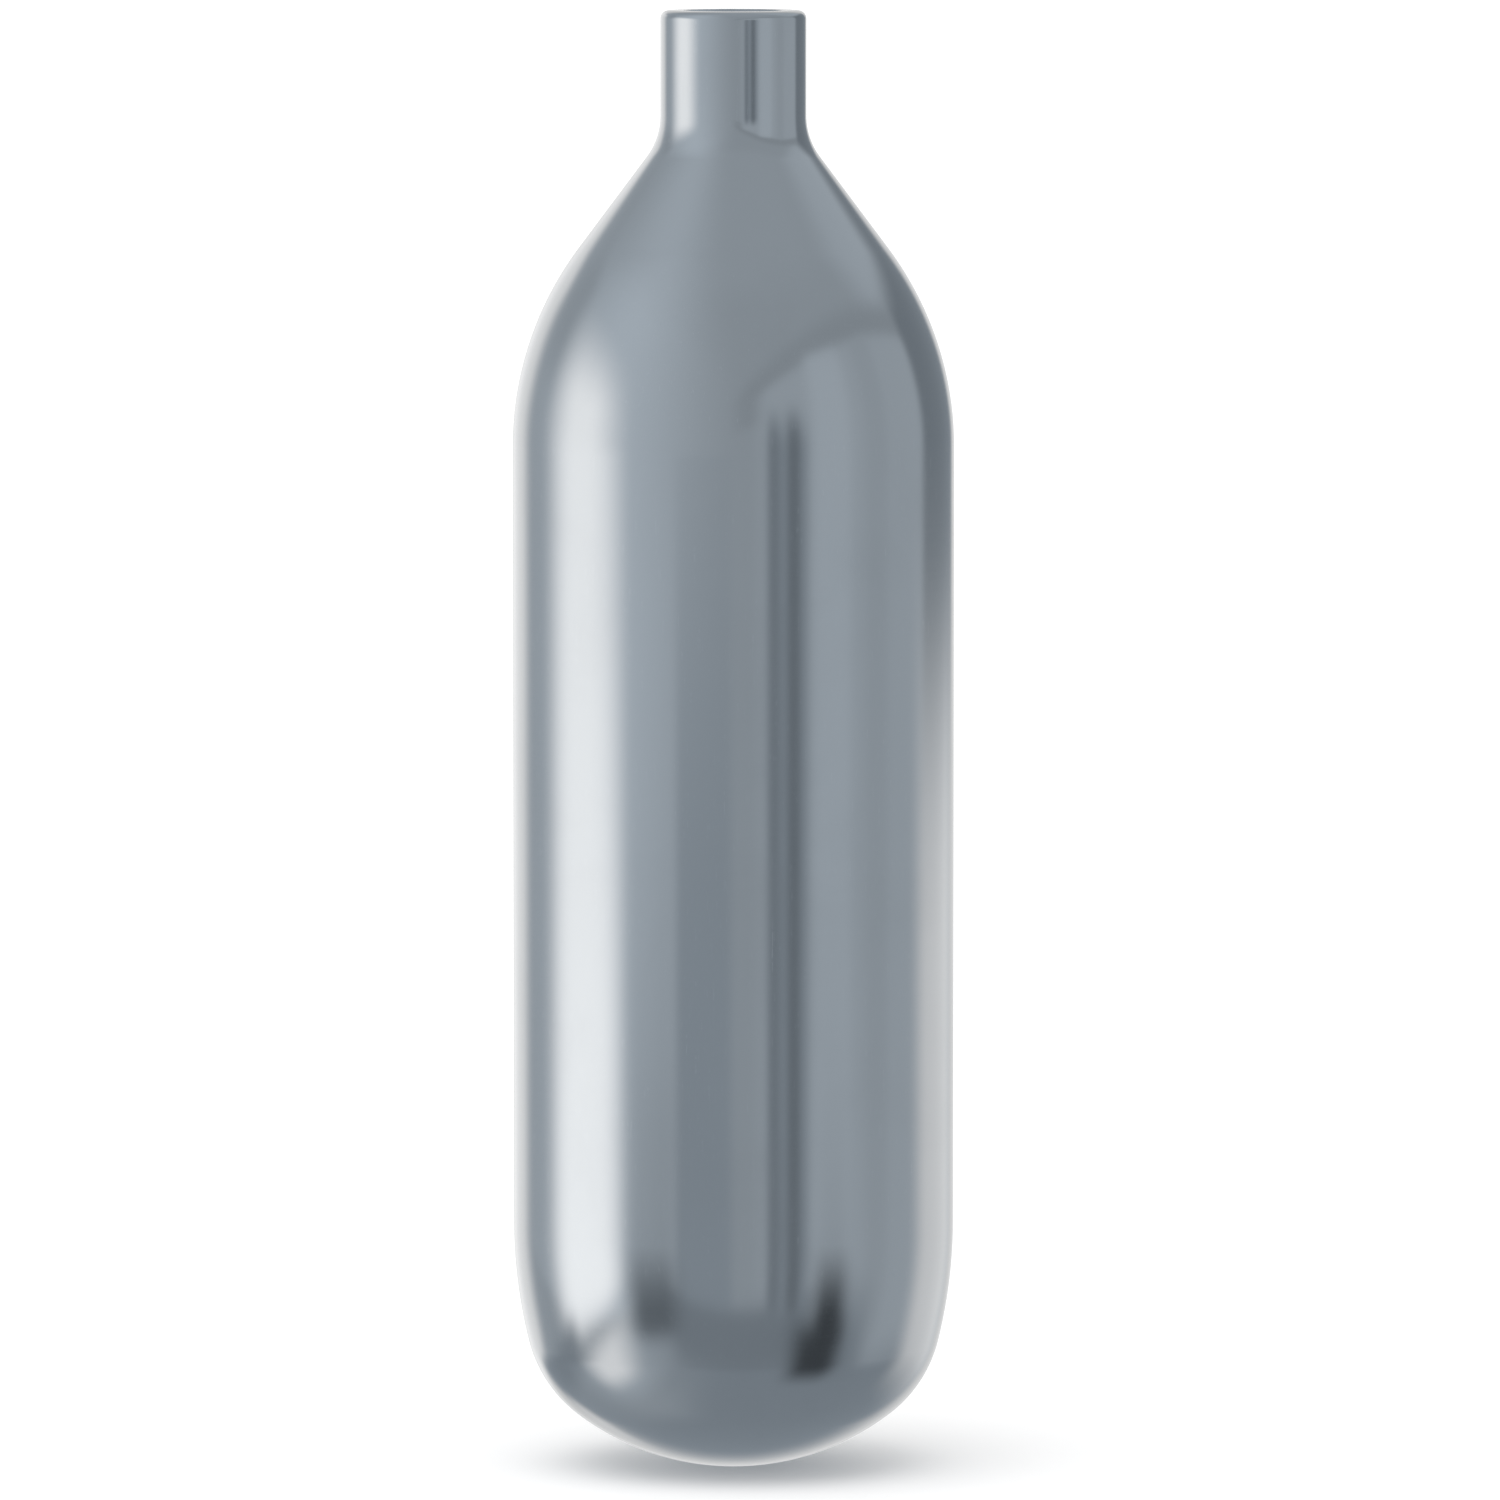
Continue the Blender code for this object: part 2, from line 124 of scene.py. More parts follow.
class TankShellSizes(bpy.types.PropertyGroup):
    """Section of the seamless shell, and of the mouth cut in its neck."""

    height: length("Height", "From the base to the neck's rim", RIM)
    body_radius: length("Body radius", "Outside radius of the straight wall", SHELL_HIGH.x)
    neck_radius: length("Neck radius", "Outside radius of the neck", 30.4 * MM)
    neck_length: length("Neck length", "Straight neck from the rim down", 43.8 * MM)
    lip_radius: length("Lip radius", "Rounding of the rim's outer edge", 3.5 * MM)
    neck_fillet: length("Neck fillet", "Hollow between the neck and the cone", 28.4 * MM)
    cone_slope: angle("Cone slope", "Angle between the cone and the axis", 36.8)
    shoulder_radius: length("Shoulder radius", "Rounding from the cone to the wall", 138.0 * MM)
    blend_radius: length("Base blend", "Slow arc where the wall turns into the base", 209.0 * MM)
    knuckle_radius: length("Base knuckle", "Tight arc of the base", 54.3 * MM)
    blend_slope: angle("Blend slope", "Slope where the blend meets the knuckle", 76.0)
    crown_slope: angle("Crown slope", "Slope where the knuckle meets the crown", 38.0)
    wall: length("Wall", "Thickness of the straight wall", 5.2 * MM)
    base_thickness: length("Base thickness", "Thickness at the base's middle", 8.8 * MM)
    inner_blend: length("Inner blend", "Blend arc inside the base", 195.0 * MM)
    inner_knuckle: length("Inner knuckle", "Knuckle arc inside the base", 45.0 * MM)
    inner_turn: angle("Inner shoulder turn", "Slope of the inside under the neck", 50.0)
    bore_flare: length("Bore flare", "Rounding where the bore opens into the tank", 10.0 * MM)
    bore_radius: length("Bore radius", "Radius of the bore before its thread is cut", 11.25 * MM)
    bore_chamfer: length("Bore chamfer", "Lead-in above the bore's thread", 1.6 * MM)
    recess_radius: length("Seal recess radius", "Radius of the seal's seat", 16.3 * MM)
    recess_depth: length("Seal recess depth", "Seal's seat below the rim", 11.0 * MM)
    mouth_radius: length("Mouth radius", "Radius of the room for the plug's flange", 20.0 * MM)
    mouth_depth: length("Mouth depth", "Floor of the mouth below the rim", 8.3 * MM)
    mouth_chamfer: length("Mouth chamfer", "Chamfer between the mouth and the rim", 1.4 * MM)
    thread_depth: length("Threaded depth", "Lowest thread below the rim", 36.0 * MM)
    edge: length("Edge rounding", "Rounding of the machined edges in the mouth", 0.3 * MM)
    steps: count("Steps", "Facets round the shell", 240)


class TankPlugSizes(bpy.types.PropertyGroup):
    """The threaded plug, with depths below the rim."""

    pitch: length("Pitch", "Pitch of the neck thread", 2.0 * MM)
    crest: length("Crest radius", "Crest of the plug's thread", 12.28 * MM)
    tooth: length("Thread height", "Height of a tooth of the neck thread", 1.08 * MM)
    clearance: length("Thread clearance", "Room between the male and female threads", 0.35 * MM)
    flange_depth: length("Flange underside", "Underside of the flange below the rim", 8.0 * MM)
    flange_chamfer: length("Flange chamfer", "Chamfer of the flange's top edge", 1.0 * MM)
    collar_radius: length("Collar radius", "Collar that centres the seal", 12.4 * MM)
    collar_depth: length("Collar end", "Lower end of the collar", 10.6 * MM)
    relief_radius: length("Relief radius", "Shank between the collar and the thread", 10.9 * MM)
    thread_top: length("Thread top", "Upper end of the thread", 12.6 * MM)
    thread_bottom: length("Thread bottom", "Lower end of the thread", 30.6 * MM)
    spigot_chamfer: length("Spigot chamfer", "Chamfer of the plug's lower edge", 0.8 * MM)
    key_flats: length("Key flats", "Across the flats of the plug's socket", 14.0 * MM)
    key_depth: length("Key depth", "Floor of the plug's socket", 9.5 * MM)
    well_radius: length("Well radius", "Well that the vent screw sits in", 6.6 * MM)
    well_depth: length("Well depth", "Floor of the well", 19.5 * MM)
    stop_groove_radius: length("Stop groove radius", "Groove of the vent's stop ring", 7.6 * MM)
    stop_groove_top: length("Stop groove top", "Upper face of that groove", 10.2 * MM)
    stop_groove_bottom: length("Stop groove bottom", "Lower face of that groove", 11.4 * MM)
    seat_top: length("Seat top", "Upper end of the vent's conical seat", 25.92 * MM)
    vent_bore: length("Vent bore", "Radius of the vent's bore before its thread is cut", 3.6 * MM)
    passage_radius: length("Passage radius", "Gas passage below the seat", 1.5 * MM)
    pocket_radius: length("Pocket radius", "Pocket of the filter", 7.0 * MM)
    pocket_top: length("Pocket top", "Upper face of the filter's pocket", 30.5 * MM)
    filter_groove_radius: length("Filter groove radius", "Groove of the filter's ring", 7.9 * MM)
    filter_groove_top: length("Filter groove top", "Upper face of that groove", 33.0 * MM)
    filter_groove_bottom: length("Filter groove bottom", "Lower face of that groove", 34.3 * MM)
    edge: length("Edge rounding", "Rounding of the plug's edges", 0.18 * MM)
    steps: count("Steps", "Facets round the plug", 128)


class TankVentSizes(bpy.types.PropertyGroup):
    """The vent screw, with depths below the rim."""

    pitch: length("Pitch", "Pitch of the vent thread", 1.25 * MM)
    crest: length("Crest radius", "Crest of the vent screw's thread", 4.0 * MM)
    tooth: length("Thread height", "Height of a tooth of the vent thread", 0.65 * MM)
    shank: length("Shank radius", "Core of the screw under its thread", 3.2 * MM)
    head_depth: length("Head underside", "Underside of the head", 17.2 * MM)
    head_chamfer: length("Head chamfer", "Chamfer of the head's top edge", 0.5 * MM)
    thread_top: length("Thread top", "Upper end of the thread", 19.8 * MM)
    thread_bottom: length("Thread bottom", "Lower end of the thread", 25.3 * MM)
    tip_radius: length("Tip radius", "Radius above the cone", 3.1 * MM)
    point_radius: length("Point radius", "Flat at the end of the cone", 1.0 * MM)
    cone_top: length("Cone top", "Upper end of the cone", 26.1 * MM)
    key_flats: length("Key flats", "Across the flats of the screw's socket", 5.0 * MM)
    key_depth: length("Key depth", "Depth of the socket below the head's top", 3.2 * MM)
    edge: length("Edge rounding", "Rounding of the screw's edges", 0.1 * MM)
    steps: count("Steps", "Facets round the screw", 96)


class TankRingSizes(bpy.types.PropertyGroup):
    """Seals, split rings and filter disc."""

    neck_seal_inner: length("Neck seal inner radius", "Inside of the flange's seal", 12.7 * MM)
    vent_seal_inner: length("Vent seal inner radius", "Inside of the vent's seal", 4.3 * MM)
    stop_inner: length("Stop ring inner radius", "Lugs of the vent's stop ring", 5.2 * MM)
    filter_ring_inner: length("Filter ring inner radius", "Lugs of the filter's ring", 5.6 * MM)
    ring_mouth: length("Ring mouth", "Gap between the ends of a split ring", 3.0 * MM)
    ring_hole: length("Lug hole", "Radius of the plier holes", 0.5 * MM)
    ring_taper: length("Ring taper", "How much narrower a split ring is beside its lugs", 0.6 * MM)
    ring_edge: length("Ring edge", "Rounding of a split ring's edges", 0.1 * MM)
    disc_chamfer: length("Disc chamfer", "Chamfer of the filter disc", 0.3 * MM)
    seal_points: count("Seal points", "Facets round a seal's section and a plier hole", 28)
    steps: count("Steps", "Facets round the rings", 96)


class TankFinishes(bpy.types.PropertyGroup):
    """Colours of the metals, the rubber and the filter."""

    steel: colour("Polished steel", "Body of the tank", (0.367, 0.380, 0.391))
    steel_roughness: share("Steel roughness", "Blur of the polished wall", 0.13)
    brass: colour("Brass", "Storage plug", (0.72, 0.50, 0.20))
    tarnish: colour("Tarnish", "Where the brass has dulled", (0.42, 0.25, 0.09))
    stainless: colour("Stainless", "Vent screw and split rings", (0.55, 0.56, 0.57))
    rubber: colour("Rubber", "Seals", (0.018, 0.018, 0.019))
    bronze: colour("Sintered bronze", "Filter disc", (0.45, 0.27, 0.12))


class TankStudio(bpy.types.PropertyGroup):
    """Camera, floor and light."""

    camera_distance: length("Camera distance", "From the camera to the tank's axis", 5.0)
    camera_rise: angle("Camera elevation", "How far the camera looks down", 4.96)
    frame_height: length("Frame height", "Height that the picture covers at the axis", 0.6269)
    aim_side: length("Aim to the side", "Picture's middle right of the axis", 6.9 * MM)
    aim_height: length("Aim height", "Picture's middle above the base", 0.3009)
    floor_radius: length("Floor radius", "Reach of the floor", 40.0)
    floor_tone: share("Floor tone", "How pale the floor is", 0.96)
    floor_lift: share("Floor lift", "Glow of the floor that only the camera sees", 0.15)
    tent_radius: length("Tent radius", "Distance of the cards that the metal reflects", 2.1)
    tent_height: length("Tent height", "Middle of the tent above the floor", 0.3)
    ambient: share("Ambient light", "Light from all sides", 0.85)
    key: share("Key light", "Strength of the soft key light", 0.85)
    key_spread: angle("Key spread", "How wide the key light is", 60)
    key_tilt: angle("Key tilt", "Turn of the key light about X", 18)
    key_lean: angle("Key lean", "Turn of the key light about Y", -12)


def draw(mesh, tip, step):
    """The end of an edge drawn from a point."""
    end = bmesh.ops.extrude_vert_indiv(mesh, verts=[tip])["verts"][0]
    bmesh.ops.translate(mesh, verts=[end], vec=step)
    return end


class Section:
    """Half of a turned section, drawn in the XZ plane by a pen that leaves edges behind it.

    A heading of 0 points away from the axis, and a turn to the left is positive.
    """

    def __init__(self, radius, height):
        self.mesh = bmesh.new()
        self.tip = self.mesh.verts.new((radius, 0, height))
        self.heading = 0.0

    def line(self, run):
        """Goes straight ahead, in facets that aren't too long."""
        pieces = math.ceil(run / LONGEST_FACET)
        step = Vector((math.cos(self.heading), 0, math.sin(self.heading))) * run / pieces
        for _ in range(pieces):
            self.tip = draw(self.mesh, self.tip, step)

    def to(self, radius, height):
        """Goes straight to a point."""
        across = radius - self.tip.co.x
        up = height - self.tip.co.z
        self.heading = math.atan2(up, across)
        self.line(math.hypot(across, up))

    def arc(self, arc_radius, turn):
        """Goes round an arc that starts along the heading."""
        facet_turn = 2 * math.acos(1 - ARC_SAG / arc_radius)
        side = self.heading + math.copysign(math.pi / 2, turn)
        spoke = Vector((math.cos(side), 0, math.sin(side))) * arc_radius
        steps = math.ceil(abs(turn) / facet_turn)
        swept = bmesh.ops.spin(
            self.mesh, geom=[self.tip], cent=self.tip.co + spoke, axis=(0, -1, 0), angle=turn, steps=steps
        )
        self.tip = next(item for item in swept["geom_last"] if isinstance(item, bmesh.types.BMVert))
        self.heading += turn


def spin(mesh, turn, steps, **settings):
    """Spins a whole mesh about the tank's axis."""
    whole = [*mesh.verts, *mesh.edges, *mesh.faces]
    bmesh.ops.spin(
        mesh, geom=whole, cent=(0, 0, 0), axis=(0, 0, 1), angle=turn, steps=steps, **settings
    )


def revolve(mesh, steps):
    """Spins a section right round the axis and closes its poles."""
    spin(mesh, 2 * math.pi, steps, use_merge=True)
    bmesh.ops.remove_doubles(mesh, verts=mesh.verts, dist=MERGE)
    bmesh.ops.recalc_face_normals(mesh, faces=mesh.faces)
    return mesh


def turned(steps, start, *points):
    """A piece turned from straight runs through (radius, height) points."""
    pen = Section(*start)
    for radius, height in points:
        pen.to(radius, height)
    return revolve(pen.mesh, steps)


def stand(mesh, inner, outer, low, high):
    """Stretches a flat unit section between two radii and two heights, and stands it up in the XZ plane."""
    bmesh.ops.scale(mesh, verts=mesh.verts, vec=(outer - inner, high - low, 1.0))
    bmesh.ops.rotate(mesh, verts=mesh.verts, matrix=Matrix.Rotation(math.pi / 2, 3, "X"))
    bmesh.ops.translate(mesh, verts=mesh.verts, vec=((outer + inner) / 2, 0, (high + low) / 2))


def round_edges(mesh, width):
    """Rounds the sharp edges, and marks the rounded strips so that a finish can wear them."""
    worn = mesh.faces.layers.float.new(EDGE_MARK)
    sharp = [edge for edge in mesh.edges if edge.calc_face_angle(0.0) > EDGE_ANGLE]
    rounded = bmesh.ops.bevel(
        mesh,
        geom=sharp,
        offset=width,
        affect="EDGES",
        segments=EDGE_SEGMENTS,
        profile=0.5,
        material=-1,
        clamp_overlap=True,
    )
    for face in rounded["faces"]:
        face[worn] = 1.0
    return mesh


def threaded_rod(top, bottom, thread, clearance=0.0):
    """A rod with a right-hand thread, cut square at both ends. Rods of one pitch lie on one helix."""
    pitch, tooth = thread.pitch, thread.tooth
    root = thread.crest + clearance - tooth
    mesh = bmesh.new()
    tip = mesh.verts.new((root, 0, RIM + (math.floor((bottom - RIM) / pitch) - 1) * pitch))
    turns = math.ceil((top - bottom) / pitch) + SPARE_TURNS
    climb = [part * pitch for part in THREAD_SHARES]
    outward = (0, tooth, 0, -tooth)
    for side, rise in list(zip(outward, climb)) * turns:
        tip = draw(mesh, tip, (side, 0, rise))
    spin(mesh, 2 * math.pi, thread.steps, dvec=(0, 0, pitch / thread.steps))
    bmesh.ops.remove_doubles(mesh, verts=mesh.verts, dist=MERGE)
    for height, out in ((top, 1), (bottom, -1)):
        cut_off = bmesh.ops.bisect_plane(
            mesh,
            geom=[*mesh.verts, *mesh.edges, *mesh.faces],
            dist=SLIVER,
            plane_co=(0, 0, height),
            plane_no=(0, 0, out),
            clear_outer=True,
        )
        rim = [item for item in cut_off["geom_cut"] if isinstance(item, bmesh.types.BMEdge)]
        bmesh.ops.contextual_create(mesh, geom=rim)
    bmesh.ops.recalc_face_normals(mesh, faces=mesh.faces)
    return mesh


def screw_thread(sizes):
    """A screw's threaded part, whose first and last turns run out on a chamfer."""
    top = RIM - sizes.thread_top
    bottom = RIM - sizes.thread_bottom
    core = sizes.crest - sizes.tooth - CUT_PAST
    wide = sizes.crest + CUT_PAST
    blank = turned(
        sizes.steps,
        (0, top + CUT_PAST),
        (core, top + CUT_PAST),
        (wide, top - sizes.tooth - CUT_PAST),
        (wide, bottom + sizes.tooth + CUT_PAST),
        (core, bottom - CUT_PAST),
        (0, bottom - CUT_PAST),
    )
    return combined(threaded_rod(top, bottom, sizes), "INTERSECT", blank)


def prism(sides, radius, low, high):
    """An upright prism on the axis, to cut with."""
    mesh = bmesh.new()
    bmesh.ops.create_cone(
        mesh, cap_ends=True, segments=sides, radius1=radius, radius2=radius, depth=high - low
    )
    bmesh.ops.translate(mesh, verts=mesh.verts, vec=(0, 0, (high + low) / 2))
    return mesh


def key_corner(flats):
    """A hexagon's corner radius, from its size across the flats."""
    return flats / math.sqrt(3)


def key_hole(flats, top, bottom):
    """A hexagonal prism that cuts a key's socket."""
    return prism(KEY_SIDES, key_corner(flats), bottom, top + CUT_PAST)


def countersink(flats, top, steps):
    """A cone that chamfers the mouth of a key's socket."""
    corner = key_corner(flats)
    return turned(
        steps,
        (0, top + CUT_PAST),
        (corner + SINK_SPREAD * CUT_PAST, top + CUT_PAST),
        (corner - SINK_SPREAD * SINK_DEPTH, top - SINK_DEPTH),
        (0, top - SINK_DEPTH),
    )


def as_object(name, mesh):
    """A scene object that owns a finished bmesh."""
    data = bpy.data.meshes.new(name)
    mesh.to_mesh(data)
    mesh.free()
    made = bpy.data.objects.new(name, data)
    bpy.context.scene.collection.objects.link(made)
    return made


def combined(body, operation, tool):
    """A bmesh joined with or cut by another one. Both are used up."""
    work = as_object("work", body)
    helper = as_object("tool", tool)
    step = work.modifiers.new("combine", "BOOLEAN")
    step.operation = operation
    step.object = helper
    made = bmesh.new()
    made.from_object(work, bpy.context.evaluated_depsgraph_get())
    bmesh.ops.remove_doubles(made, verts=made.verts, dist=SLIVER)
    for used in (work.data, helper.data):
        bpy.data.meshes.remove(used)
    return made


def cut(body, *cutters):
    """A bmesh with each cutter taken out of it in turn."""
    for cutter in cutters:
        body = combined(body, "DIFFERENCE", cutter)
    return body


def add_piece(name, mesh, finish, body, node):
    """A finished piece that stands for a CAD node and moves with its body."""
    if not all(edge.is_manifold for edge in mesh.edges):
        raise RuntimeError(f"{name} isn't closed")
    piece = as_object(name, mesh)
    piece.data.shade_smooth()
    piece.data.set_sharp_from_angle(angle=EDGE_ANGLE)
    piece.data.materials.append(finish)
    weigh = piece.modifiers.new("even shading", "WEIGHTED_NORMAL")
    weigh.keep_sharp = True
    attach(piece, body)
    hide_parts(node)


def base_arcs(radius, blend, knuckle, sizes):
    """The base's three tangent arcs from the wall down, as (arc radius, turn) pairs."""
    blend_sine = math.sin(sizes.blend_slope)
    crown_sine = math.sin(sizes.crown_slope)
    crown_run = radius - blend * (1 - blend_sine) - knuckle * (blend_sine - crown_sine)
    return (
        (blend, math.pi / 2 - sizes.blend_slope),
        (knuckle, sizes.blend_slope - sizes.crown_slope),
        (crown_run / crown_sine, sizes.crown_slope),
    )


def arcs_height(arcs):
    """How high a base of such arcs is."""
    height = 0.0
    slope = math.pi / 2
    for arc_radius, turn in arcs:
        height += arc_radius * (math.cos(slope - turn) - math.cos(slope))
        slope -= turn
    return height


def shell_mesh(sizes):
    """The shell's section: inside from the base up to the neck, over the rim, and down outside."""
    rounds = sizes.shoulder_radius + sizes.neck_fillet
    cone_run = sizes.body_radius - sizes.neck_radius - rounds * (1 - math.cos(sizes.cone_slope))
    cone_length = cone_run / math.sin(sizes.cone_slope)
    cone_drop = rounds * math.sin(sizes.cone_slope) + cone_length * math.cos(sizes.cone_slope)
    shoulder_foot = sizes.height - sizes.neck_length - cone_drop
    outer = base_arcs(sizes.body_radius, sizes.blend_radius, sizes.knuckle_radius, sizes)
    inner = base_arcs(sizes.body_radius - sizes.wall, sizes.inner_blend, sizes.inner_knuckle, sizes)
    flare_radius = sizes.bore_radius + sizes.bore_flare * (1 - math.cos(sizes.inner_turn))
    recess_floor = sizes.height - sizes.recess_depth

    pen = Section(0.0, sizes.base_thickness)
    for arc_radius, turn in reversed(inner):
        pen.arc(arc_radius, turn)
    pen.line(shoulder_foot - sizes.base_thickness - arcs_height(inner))
    pen.arc(sizes.shoulder_radius - sizes.wall, sizes.inner_turn)
    pen.line((pen.tip.co.x - flare_radius) / math.sin(sizes.inner_turn))
    pen.arc(sizes.bore_flare, -sizes.inner_turn)
    pen.to(sizes.bore_radius, recess_floor - sizes.bore_chamfer)
    pen.to(sizes.bore_radius + sizes.bore_chamfer, recess_floor)
    pen.to(sizes.recess_radius, recess_floor)
    pen.to(sizes.recess_radius, sizes.height - sizes.mouth_depth)
    pen.to(sizes.mouth_radius, sizes.height - sizes.mouth_depth)
    pen.to(sizes.mouth_radius, sizes.height - sizes.mouth_chamfer)
    pen.to(sizes.mouth_radius + sizes.mouth_chamfer, sizes.height)
    pen.to(sizes.neck_radius - sizes.lip_radius, sizes.height)
    pen.arc(sizes.lip_radius, -math.pi / 2)
    pen.line(sizes.neck_length - sizes.lip_radius)
    pen.arc(sizes.neck_fillet, sizes.cone_slope)
    pen.line(cone_length)
    pen.arc(sizes.shoulder_radius, -sizes.cone_slope)
    pen.line(shoulder_foot - arcs_height(outer))
    for arc_radius, turn in outer:
        pen.arc(arc_radius, -turn)
    return round_edges(revolve(pen.mesh, sizes.steps), sizes.edge)


class TANK_OT_add_shell(bpy.types.Operator):
    """Add the seamless steel shell with its threaded neck"""

    bl_idname = "tank.add_shell"
    bl_label = "Add shell"

    def execute(self, context):
        sizes = context.scene.tank_shell
        plug = context.scene.tank_plug
        thread_top = RIM - sizes.recess_depth - sizes.bore_chamfer / 2
        tap = threaded_rod(thread_top, RIM - sizes.thread_depth, plug, plug.clearance)
        shell = cut(shell_mesh(sizes), tap)
        finish = polished_steel(context.scene.tank_finishes)
        add_piece("polished_shell", shell, finish, "cylinder", "cylinder_shell")
        return {"FINISHED"}


def plug_blank(sizes):
    """The plug's outside before its thread is cut."""
    flange = PLUG_HIGH.x
    flange_floor = RIM - sizes.flange_depth
    collar_end = RIM - sizes.collar_depth
    return turned(
        sizes.steps,
        (0, PLUG_HIGH.z),
        (flange - sizes.flange_chamfer, PLUG_HIGH.z),
        (flange, PLUG_HIGH.z - sizes.flange_chamfer),
        (flange, flange_floor),
        (sizes.collar_radius, flange_floor),
        (sizes.collar_radius, collar_end),
        (sizes.relief_radius, collar_end),
        (sizes.relief_radius, PLUG_LOW.z + sizes.spigot_chamfer),
        (sizes.relief_radius - sizes.spigot_chamfer, PLUG_LOW.z),
        (0, PLUG_LOW.z),
    )


def bored(start, *steps):
    """Points of a stepped bore, which goes from a starting depth straight down to each step's own depth."""
    points = []
    for radius, depth in steps:
        points += [(radius, start), (radius, depth)]
        start = depth
    return points


def plug_hollow(sizes):
    """What is bored out of the plug: the vent's well and seat, the passage and the filter's pocket."""
    plug_end = RIM - PLUG_LOW.z + CUT_PAST
    well = bored(
        -CUT_PAST,
        (sizes.well_radius, sizes.stop_groove_top),
        (sizes.stop_groove_radius, sizes.stop_groove_bottom),
        (sizes.well_radius, sizes.well_depth),
        (sizes.vent_bore, sizes.seat_top),
    )
    passage = bored(
        sizes.seat_top + sizes.vent_bore - sizes.passage_radius,
        (sizes.passage_radius, sizes.pocket_top),
        (sizes.pocket_radius, sizes.filter_groove_top),
        (sizes.filter_groove_radius, sizes.filter_groove_bottom),
        (sizes.pocket_radius, plug_end),
    )
    outline = [(0, -CUT_PAST), *well, *passage, (0, plug_end)]
    return turned(sizes.steps, *((radius, RIM - depth) for radius, depth in outline))


class TANK_OT_add_plug(bpy.types.Operator):
    """Add the brass storage plug"""

    bl_idname = "tank.add_plug"
    bl_label = "Add plug"

    def execute(self, context):
        sizes = context.scene.tank_plug
        tap_top = RIM - sizes.well_depth + CUT_PAST
        tap_bottom = RIM - sizes.seat_top - sizes.edge
        blank = round_edges(plug_blank(sizes), sizes.edge)
        plug = cut(
            combined(blank, "UNION", screw_thread(sizes)),
            plug_hollow(sizes),
            threaded_rod(tap_top, tap_bottom, context.scene.tank_vent, sizes.clearance),
            key_hole(sizes.key_flats, PLUG_HIGH.z, RIM - sizes.key_depth),
            countersink(sizes.key_flats, PLUG_HIGH.z, sizes.steps),
        )
        finish = turned_brass(context.scene.tank_finishes)
        add_piece("storage_plug", plug, finish, "plug", "neck_plug")
        return {"FINISHED"}


class TANK_OT_add_vent_screw(bpy.types.Operator):
    """Add the stainless vent screw"""

    bl_idname = "tank.add_vent_screw"
    bl_label = "Add vent screw"

    def execute(self, context):
        sizes = context.scene.tank_vent
        head = VENT_HIGH.x
        head_floor = RIM - sizes.head_depth
        blank = turned(
            sizes.steps,
            (0, VENT_HIGH.z),
            (head - sizes.head_chamfer, VENT_HIGH.z),
            (head, VENT_HIGH.z - sizes.head_chamfer),
            (head, head_floor),
            (sizes.crest, head_floor),
            (sizes.crest, RIM - sizes.thread_top + sizes.tooth),
            (sizes.shank, RIM - sizes.thread_top),
            (sizes.shank, RIM - sizes.thread_bottom - sizes.head_chamfer),
            (sizes.tip_radius, RIM - sizes.cone_top),
            (sizes.point_radius, VENT_LOW.z),
            (0, VENT_LOW.z),
        )
        screw = cut(
            combined(round_edges(blank, sizes.edge), "UNION", screw_thread(sizes)),
            key_hole(sizes.key_flats, VENT_HIGH.z, VENT_HIGH.z - sizes.key_depth),
        )
        finish = turned_stainless(context.scene.tank_finishes)
        add_piece("bleed_screw", screw, finish, "vent", "vent_screw")
        return {"FINISHED"}


def seal_mesh(node, inner, sizes):
    """An O-ring squashed into the room that its CAD node takes, with its mould line marked."""
    low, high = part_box(node)
    mesh = bmesh.new()
    line = mesh.verts.layers.float.new(EDGE_MARK)
    bmesh.ops.create_circle(mesh, segments=sizes.seal_points, radius=0.5)
    for vert in mesh.verts:
        vert[line] = float(abs(vert.co.y) < MERGE)
    stand(mesh, inner, high.x, low.z, high.z)
    return revolve(mesh, sizes.steps)


class TANK_OT_add_seals(bpy.types.Operator):
    """Add the seals under the plug's flange and the vent screw's head"""

    bl_idname = "tank.add_seals"
    bl_label = "Add seals"

    def execute(self, context):
        sizes = context.scene.tank_rings
        finish = seal_rubber(context.scene.tank_finishes)
        neck = seal_mesh("neck_o_ring", sizes.neck_seal_inner, sizes)
        add_piece("flange_seal", neck, finish, "neck_seal", "neck_o_ring")
        vent = seal_mesh("vent_o_ring", sizes.vent_seal_inner, sizes)
        add_piece("bleed_seal", vent, finish, "vent_seal", "vent_o_ring")
        return {"FINISHED"}


